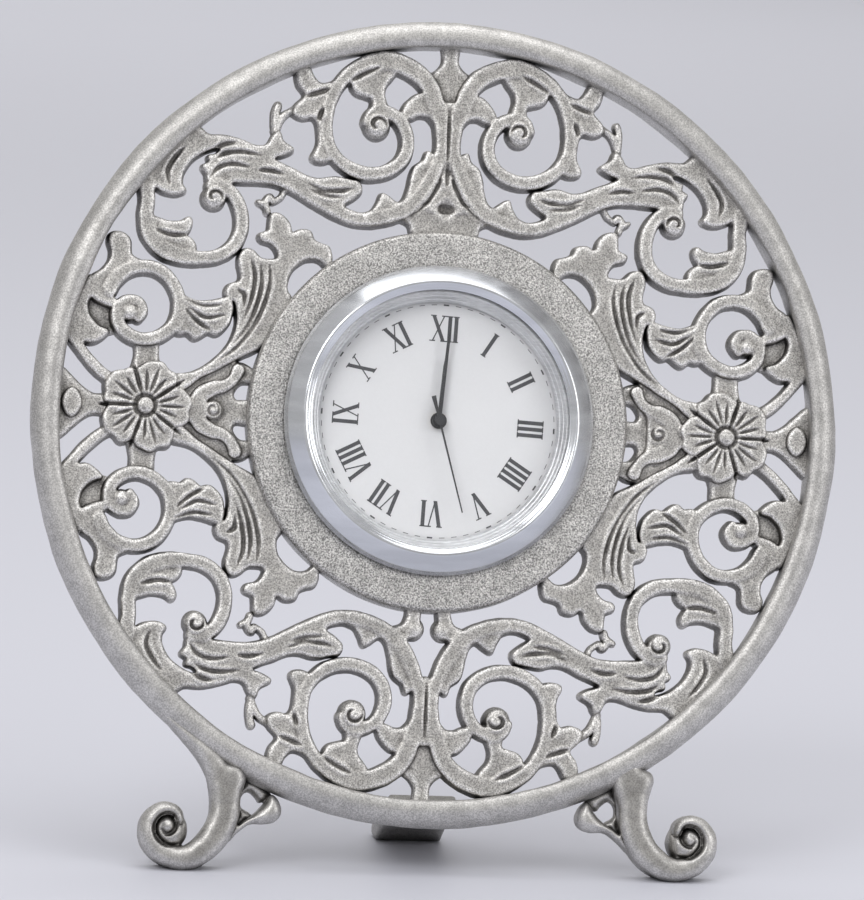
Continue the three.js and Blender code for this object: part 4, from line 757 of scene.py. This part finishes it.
def plain_metal(name, colour, rough, grain):
    """Machined metal with fine brushed streaks and slight stains."""
    material, tree, shader = new_finish(name)
    place = node_of(tree, "ShaderNodeTexCoord").outputs["Object"]
    long = node_of(tree, "ShaderNodeMapping", {"Vector": place, "Scale": (1.0, 1.0, 6.0)})
    streak = node_of(tree, "ShaderNodeTexNoise", {
        "Vector": long.outputs["Vector"], "Scale": grain, "Detail": 4.0, "Roughness": 0.6}).outputs["Fac"]
    low = tuple(0.82 * c for c in colour)
    tree.links.new(ramp_of(tree, streak, [(0.35, low), (0.65, colour)]), shader.inputs["Base Color"])
    shader.inputs["Metallic"].default_value = 1.0
    gloss = node_of(tree, "ShaderNodeMapRange", {
        "Value": streak, "From Min": 0.3, "From Max": 0.7, "To Min": rough - 0.06, "To Max": rough + 0.08})
    tree.links.new(gloss.outputs["Result"], shader.inputs["Roughness"])
    return material


def moulded(name, colour, rough, grain, bump, dim=0.86):
    """Moulded plastic or rubber with a fine matt grain."""
    material, tree, shader = new_finish(name)
    place = node_of(tree, "ShaderNodeTexCoord").outputs["Object"]
    speck = node_of(tree, "ShaderNodeTexNoise", {
        "Vector": place, "Scale": grain, "Detail": 3.0, "Roughness": 0.6}).outputs["Fac"]
    low = tuple(dim * c for c in colour)
    tree.links.new(ramp_of(tree, speck, [(0.35, low), (0.65, colour)]), shader.inputs["Base Color"])
    shader.inputs["Roughness"].default_value = rough
    skin = node_of(tree, "ShaderNodeBump", {"Height": speck, "Strength": bump, "Distance": 0.03 * MM})
    tree.links.new(skin.outputs["Normal"], shader.inputs["Normal"])
    return material


steel_finish = plain_metal("brushed_steel", (0.58, 0.58, 0.59), rough=0.32, grain=700.0)
rubber_finish = moulded("black_rubber", (0.03, 0.03, 0.032), rough=0.7, grain=2500.0, bump=0.5)
white_finish = moulded("white_plastic", (0.78, 0.78, 0.76), rough=0.42, grain=1800.0, bump=0.2)
case_bm = turned(rounded(CASE_SECTION, radius=0.12), steps=160)
finished("case", as_mesh("case", case_bm), steel_finish, "insert", "steel", "case_cup")
grip_bm = turned(rounded(GRIP_SECTION, radius=0.2), steps=128)
finished("grip", as_mesh("grip", grip_bm), rubber_finish, "insert", "rubber", "grip_ring")

# Dial. A disc of white lacquered card under a thin satin ring, printed with a minute track and plain
# Roman numerals in dark grey. The insert sits turned a few degrees in its hole.
INSERT_TURN = math.radians(-3.1)
TRACK_R = 13.75
NUMERAL_R = 10.95
NUMERAL_TALL = 3.1
NUMERALS = ("XII", "I", "II", "III", "IIII", "V", "VI", "VII", "VIII", "IX", "X", "XI")
PRINT_N = 3.62
INK_SINK = 0.015
INK_THICK = 0.02
DASH_HALF = 0.32
HOUR_DASH = 0.09
MINUTE_DASH = 0.035
DIAL_SECTION = [(0, 3.6), (14.62, 3.6), (14.7, 3.54), (14.7, 3.26), (14.64, 3.2), (0, 3.2)]
DIAL_RING_SECTION = [
    (14.0, 3.9), (14.95, 3.9), (14.95, 5.25), (15.65, 5.25), (15.65, 5.45), (15.0, 5.45), (14.72, 4.95),
    (14.64, 4.95), (14.36, 4.4), (14.28, 4.4),
]

dial_finish = moulded("white_lacquer", (0.63, 0.635, 0.65), rough=0.4, grain=2600.0, bump=0.02, dim=0.985)
dial_bm = turned(DIAL_SECTION, steps=128, closed=False)
finished("dial_plate", as_mesh("dial_plate", dial_bm), dial_finish, "insert", "dial_white", "dial",
         smooth=False)
satin_finish = plain_metal("satin_grey", (0.78, 0.79, 0.81), rough=0.38, grain=900.0)
slope_bm = turned(rounded(DIAL_RING_SECTION, radius=0.05), steps=128)
finished("dial_slope", as_mesh("dial_slope", slope_bm), satin_finish, "insert", "dial_ring_grey",
         "dial_ring")


def printed(bm, corners, turn):
    """One printed stroke: a thin slab of ink on the dial, set round it by a turn."""
    face = bm.faces.new([bm.verts.new((u, v, PRINT_N - INK_SINK)) for u, v in corners])
    grown = bmesh.ops.extrude_face_region(bm, geom=[face])["geom"]
    verts = [g for g in grown if isinstance(g, bmesh.types.BMVert)]
    bmesh.ops.translate(bm, verts=verts, vec=(0, 0, INK_THICK))
    bmesh.ops.rotate(bm, cent=(0, 0, 0), matrix=Matrix.Rotation(turn, 3, "Z"),
                     verts=list(face.verts) + verts)


def bar(foot, top, width):
    """An upright or leaning stroke of height 1, from its foot to its top."""
    return [(foot - width / 2, 0), (foot + width / 2, 0), (top + width / 2, 1), (top - width / 2, 1)]


def numeral_strokes(word):
    """Strokes of a Roman numeral of height 1: thick and thin bars with fine serifs."""
    widths = {"I": 0.24, "V": 0.62, "X": 0.62}
    thick, thin, serif, serif_half, margin = 0.145, 0.05, 0.045, 0.11, 0.1
    total = sum(widths[c] for c in word)
    x = -total / 2
    strokes = []
    for c in word:
        wide = widths[c]
        left, mid, right = x + margin, x + wide / 2, x + wide - margin
        if c == "I":
            strokes.append(bar(mid, mid, thick))
            feet = [(mid, 0), (mid, 1)]
        elif c == "V":
            strokes += [bar(mid, left, thick), bar(mid, right, thin)]
            feet = [(left, 1), (right, 1)]
        else:
            strokes += [bar(right, left, thick), bar(left, right, thin)]
            feet = [(left, 0), (right, 0), (left, 1), (right, 1)]
        for spot, level in feet:
            low = 0 if level == 0 else 1 - serif
            strokes.append([(spot - serif_half, low), (spot + serif_half, low),
                            (spot + serif_half, low + serif), (spot - serif_half, low + serif)])
        x += wide
    return strokes


ink_finish = moulded("printed_grey", (0.07, 0.072, 0.078), rough=0.5, grain=1500.0, bump=0.1)
print_bm = bmesh.new()
for minute in range(60):
    half = HOUR_DASH if minute % 5 == 0 else MINUTE_DASH
    dash = [(-DASH_HALF, TRACK_R - half), (DASH_HALF, TRACK_R - half), (DASH_HALF, TRACK_R + half),
            (-DASH_HALF, TRACK_R + half)]
    printed(print_bm, dash, -math.radians(6 * minute))
for hour, word in enumerate(NUMERALS):
    for stroke in numeral_strokes(word):
        corners = [(u * NUMERAL_TALL, NUMERAL_R + (v - 0.5) * NUMERAL_TALL) for u, v in stroke]
        printed(print_bm, corners, -math.radians(30 * hour))
bmesh.ops.rotate(print_bm, cent=(0, 0, 0), matrix=Matrix.Rotation(INSERT_TURN, 3, "Z"),
                 verts=print_bm.verts)
bmesh.ops.recalc_face_normals(print_bm, faces=print_bm.faces)
finished("dial_print", as_mesh("dial_print", print_bm), ink_finish, "insert", "hand_black", smooth=False)

# Hands and movement. Thin stamped hands, blackened, on the pipes of a plain quartz movement: brass
# wheels and a steel bridge on a plastic plate, a wound coil, a small circuit board and a button cell.
MOVEMENT_FINISHES = {
    "hand_black": moulded("hand_black", (0.045, 0.046, 0.05), rough=0.38, grain=900.0, bump=0.05),
    "steel": steel_finish,
    "brass": plain_metal("brass", (0.72, 0.55, 0.26), rough=0.3, grain=900.0),
    "copper": plain_metal("copper_wire", (0.72, 0.36, 0.2), rough=0.35, grain=2600.0),
    "magnet": plain_metal("magnet", (0.2, 0.2, 0.21), rough=0.45, grain=1200.0),
    "white_plastic": white_finish,
    "black_plastic": moulded("black_plastic", (0.035, 0.035, 0.038), rough=0.45, grain=1800.0, bump=0.2),
    "board_green": moulded("green_board", (0.03, 0.16, 0.07), rough=0.4, grain=1400.0, bump=0.2),
}
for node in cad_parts.values():
    slot = node.data.materials[0].name.split(".")[0]
    if slot in MOVEMENT_FINISHES and not node.hide_render:
        node.data.materials[0] = MOVEMENT_FINISHES[slot]

# Lens and bezel. A flat clear lens held by a chromed bezel: a broad polished slope, a crest and a
# narrow inner slope down to the lens. The bezel rests on the front of the ring.
LENS_SECTION = [(0, 6.3), (15.6, 6.3), (15.7, 6.2), (15.7, 5.6), (15.6, 5.5), (0, 5.5)]
BEZEL_SECTION = [
    (16.5, 4.3), (18.25, 4.3), (18.25, 4.85), (17.9, 5.45), (16.25, 7.0), (16.0, 7.08), (15.72, 6.93),
    (15.66, 6.87), (15.42, 6.76), (15.36, 6.7), (15.1, 6.6), (16.0, 6.6), (16.0, 5.5), (16.5, 5.5),
]

lens_finish, tree, shader = new_finish("clear_lens")
shader.inputs["Base Color"].default_value = (1, 1, 1, 1)
shader.inputs["Roughness"].default_value = 0.02
shader.inputs["IOR"].default_value = 1.12
shader.inputs["Transmission Weight"].default_value = 1.0
clear = node_of(tree, "ShaderNodeBsdfTransparent")
lamp_ray = node_of(tree, "ShaderNodeLightPath").outputs["Is Shadow Ray"]
both = node_of(tree, "ShaderNodeMixShader", {0: lamp_ray, 1: shader.outputs[0], 2: clear.outputs[0]})
tree.links.new(both.outputs[0], tree.nodes["Material Output"].inputs["Surface"])
lens_bm = turned(LENS_SECTION, steps=128, closed=False)
finished("lens_glass", as_mesh("lens_glass", lens_bm), lens_finish, "insert", "lens", "lens", smooth=False)
chrome_finish = plain_metal("chrome", (0.72, 0.74, 0.78), rough=0.2, grain=60.0)
bezel_bm = turned(rounded(BEZEL_SECTION, radius=0.12), steps=256)
finished("chrome_bezel", as_mesh("chrome_bezel", bezel_bm), chrome_finish, "insert", "chrome", "bezel")

# Back cover and setting knob. The cover is pressed from sheet steel and snaps into the case from behind,
# with a round window for the knob. The knob that sets the hands is black plastic with a fluted edge.
COVER_BACK, COVER_FRONT, COVER_R = -6.7, -5.9, 16.2
WINDOW_R = 3.2
SPIGOT_SECTION = [(13.7, -6.2), (14.7, -6.2), (14.7, -4.9), (13.7, -4.9)]
KNOB_BACK, KNOB_FRONT, KNOB_R = -7.6, -5.7, 2.6
KNOB_FLUTES = 24
KNOB_POINTS = 6 * KNOB_FLUTES
FLUTE_DEPTH = 0.1

knob_spot = DISC.inverted() @ Vector(points_of(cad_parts["setting_knob"].data).mean(axis=0))
knob_spot.z = 0


def raised(bm, low, high, edge):
    """Extrudes the flat faces of a bmesh from one height to another and rounds the sharp edges."""
    grown = bmesh.ops.extrude_face_region(bm, geom=bm.faces[:])["geom"]
    bmesh.ops.translate(bm, verts=[g for g in grown if isinstance(g, bmesh.types.BMVert)],
                        vec=(0, 0, high - low))
    bmesh.ops.translate(bm, verts=bm.verts, vec=(0, 0, low))
    bmesh.ops.recalc_face_normals(bm, faces=bm.faces)
    ends = [e for e in bm.edges if abs(e.verts[0].co.z - e.verts[1].co.z) < 1e-6
            and e.calc_face_angle(0) > 1]
    bmesh.ops.bevel(bm, geom=ends, offset=edge, affect="EDGES", segments=3, profile=0.5, material=-1)


cover_bm = bmesh.new()
bmesh.ops.create_circle(cover_bm, segments=160, radius=COVER_R)
bmesh.ops.create_circle(cover_bm, segments=48, radius=WINDOW_R, matrix=Matrix.Translation(knob_spot))
bmesh.ops.triangle_fill(cover_bm, use_beauty=True, edges=cover_bm.edges[:])
raised(cover_bm, COVER_BACK, COVER_FRONT, edge=0.2)
spigot = as_mesh("spigot", turned(rounded(SPIGOT_SECTION, radius=0.15), steps=160))
cover_bm.from_mesh(spigot)
bpy.data.meshes.remove(spigot)
finished("snap_cover", as_mesh("snap_cover", cover_bm), steel_finish, "cover", "steel", "back_cover",
         smooth=False)

knob_bm = bmesh.new()
knob_line = []
for k in range(KNOB_POINTS):
    turn = 2 * math.pi * k / KNOB_POINTS
    reach = KNOB_R - FLUTE_DEPTH * (1 - math.cos(KNOB_FLUTES * turn))
    knob_line.append(knob_bm.verts.new((reach * math.cos(turn), reach * math.sin(turn), 0)))
knob_bm.faces.new(knob_line)
raised(knob_bm, KNOB_BACK, KNOB_FRONT, edge=0.15)
end_face = min(knob_bm.faces, key=lambda f: f.calc_center_median().z)
bmesh.ops.inset_individual(knob_bm, faces=[end_face], thickness=0.6, depth=-0.3)
bmesh.ops.translate(knob_bm, verts=knob_bm.verts, vec=knob_spot)
finished("fluted_knob", as_mesh("fluted_knob", knob_bm), MOVEMENT_FINISHES["black_plastic"], "setting",
         "black_plastic", "setting_knob", smooth=False)

# Floor, light and camera. A pale table under an even sky, with a softbox up on the left, a weaker one on
# the right, a large one overhead and one over the far end of the table. The camera stands a little to the
# left and above, and is held a few degrees out of level.
TABLE_HALF = 6.0
AZIMUTH, ELEVATION, ROLL = math.radians(-7.67), math.radians(7.55), math.radians(2.97)
CAMERA_AWAY, CAMERA_RIGHT, CAMERA_UP = 700, -0.205, -2.979
FOCAL_LENGTH = 237.7

table_finish, tree, shader = new_finish("pale_table")
shader.inputs["Base Color"].default_value = (0.61, 0.617, 0.685, 1)
shader.inputs["Roughness"].default_value = 0.5
floor_bm = bmesh.new()
bmesh.ops.create_grid(floor_bm, x_segments=1, y_segments=1, size=TABLE_HALF)
floor = bpy.data.objects.new("table", as_mesh("table", floor_bm))
floor.data.materials.append(table_finish)
bpy.context.scene.collection.objects.link(floor)

sky = bpy.data.worlds.new("studio")
sky.use_nodes = True
sky.node_tree.nodes["Background"].inputs["Color"].default_value = (1.0, 0.99, 0.98, 1)
sky.node_tree.nodes["Background"].inputs["Strength"].default_value = 0.58
bpy.context.scene.world = sky


def softbox(name, spot, size, watts, aim=DISC_CENTRE, spread=math.pi):
    """A round softbox at a spot, turned to what it lights."""
    lamp = bpy.data.lights.new(name, "AREA")
    lamp.shape = "DISK"
    lamp.size = size
    lamp.energy = watts
    lamp.spread = spread
    holder = bpy.data.objects.new(name, lamp)
    holder.location = spot
    holder.rotation_euler = (Vector(aim) - Vector(spot)).to_track_quat("-Z", "Y").to_euler()
    bpy.context.scene.collection.objects.link(holder)


softbox("left_softbox", (-0.55, -0.75, 0.85), size=0.6, watts=4.0)
softbox("right_softbox", (0.75, -0.6, 0.4), size=0.5, watts=1.6)
softbox("top_softbox", (0.05, 0.1, 1.0), size=1.0, watts=4.8)
softbox("table_softbox", (0.0, 1.7, 1.3), size=1.4, watts=2.2, aim=(0.0, 1.7, 0.0), spread=math.radians(80))

back = Vector((math.sin(AZIMUTH) * math.cos(ELEVATION), -math.cos(AZIMUTH) * math.cos(ELEVATION),
               math.sin(ELEVATION)))
right = Vector((math.cos(AZIMUTH), math.sin(AZIMUTH), 0))
upward = back.cross(right)
right, upward = (right * math.cos(ROLL) + upward * math.sin(ROLL),
                 upward * math.cos(ROLL) - right * math.sin(ROLL))
lens = bpy.data.cameras.new("camera")
lens.lens = FOCAL_LENGTH
lens.sensor_width = 36
lens.clip_start, lens.clip_end = 0.05, 50
camera = bpy.data.objects.new("camera", lens)
camera.matrix_world = Matrix((right, upward, back)).transposed().to_4x4()
camera.location = DISC_CENTRE + (right * CAMERA_RIGHT + upward * CAMERA_UP + back * CAMERA_AWAY) * MM
bpy.context.scene.collection.objects.link(camera)
bpy.context.scene.camera = camera
bpy.context.scene.view_settings.view_transform = "Standard"
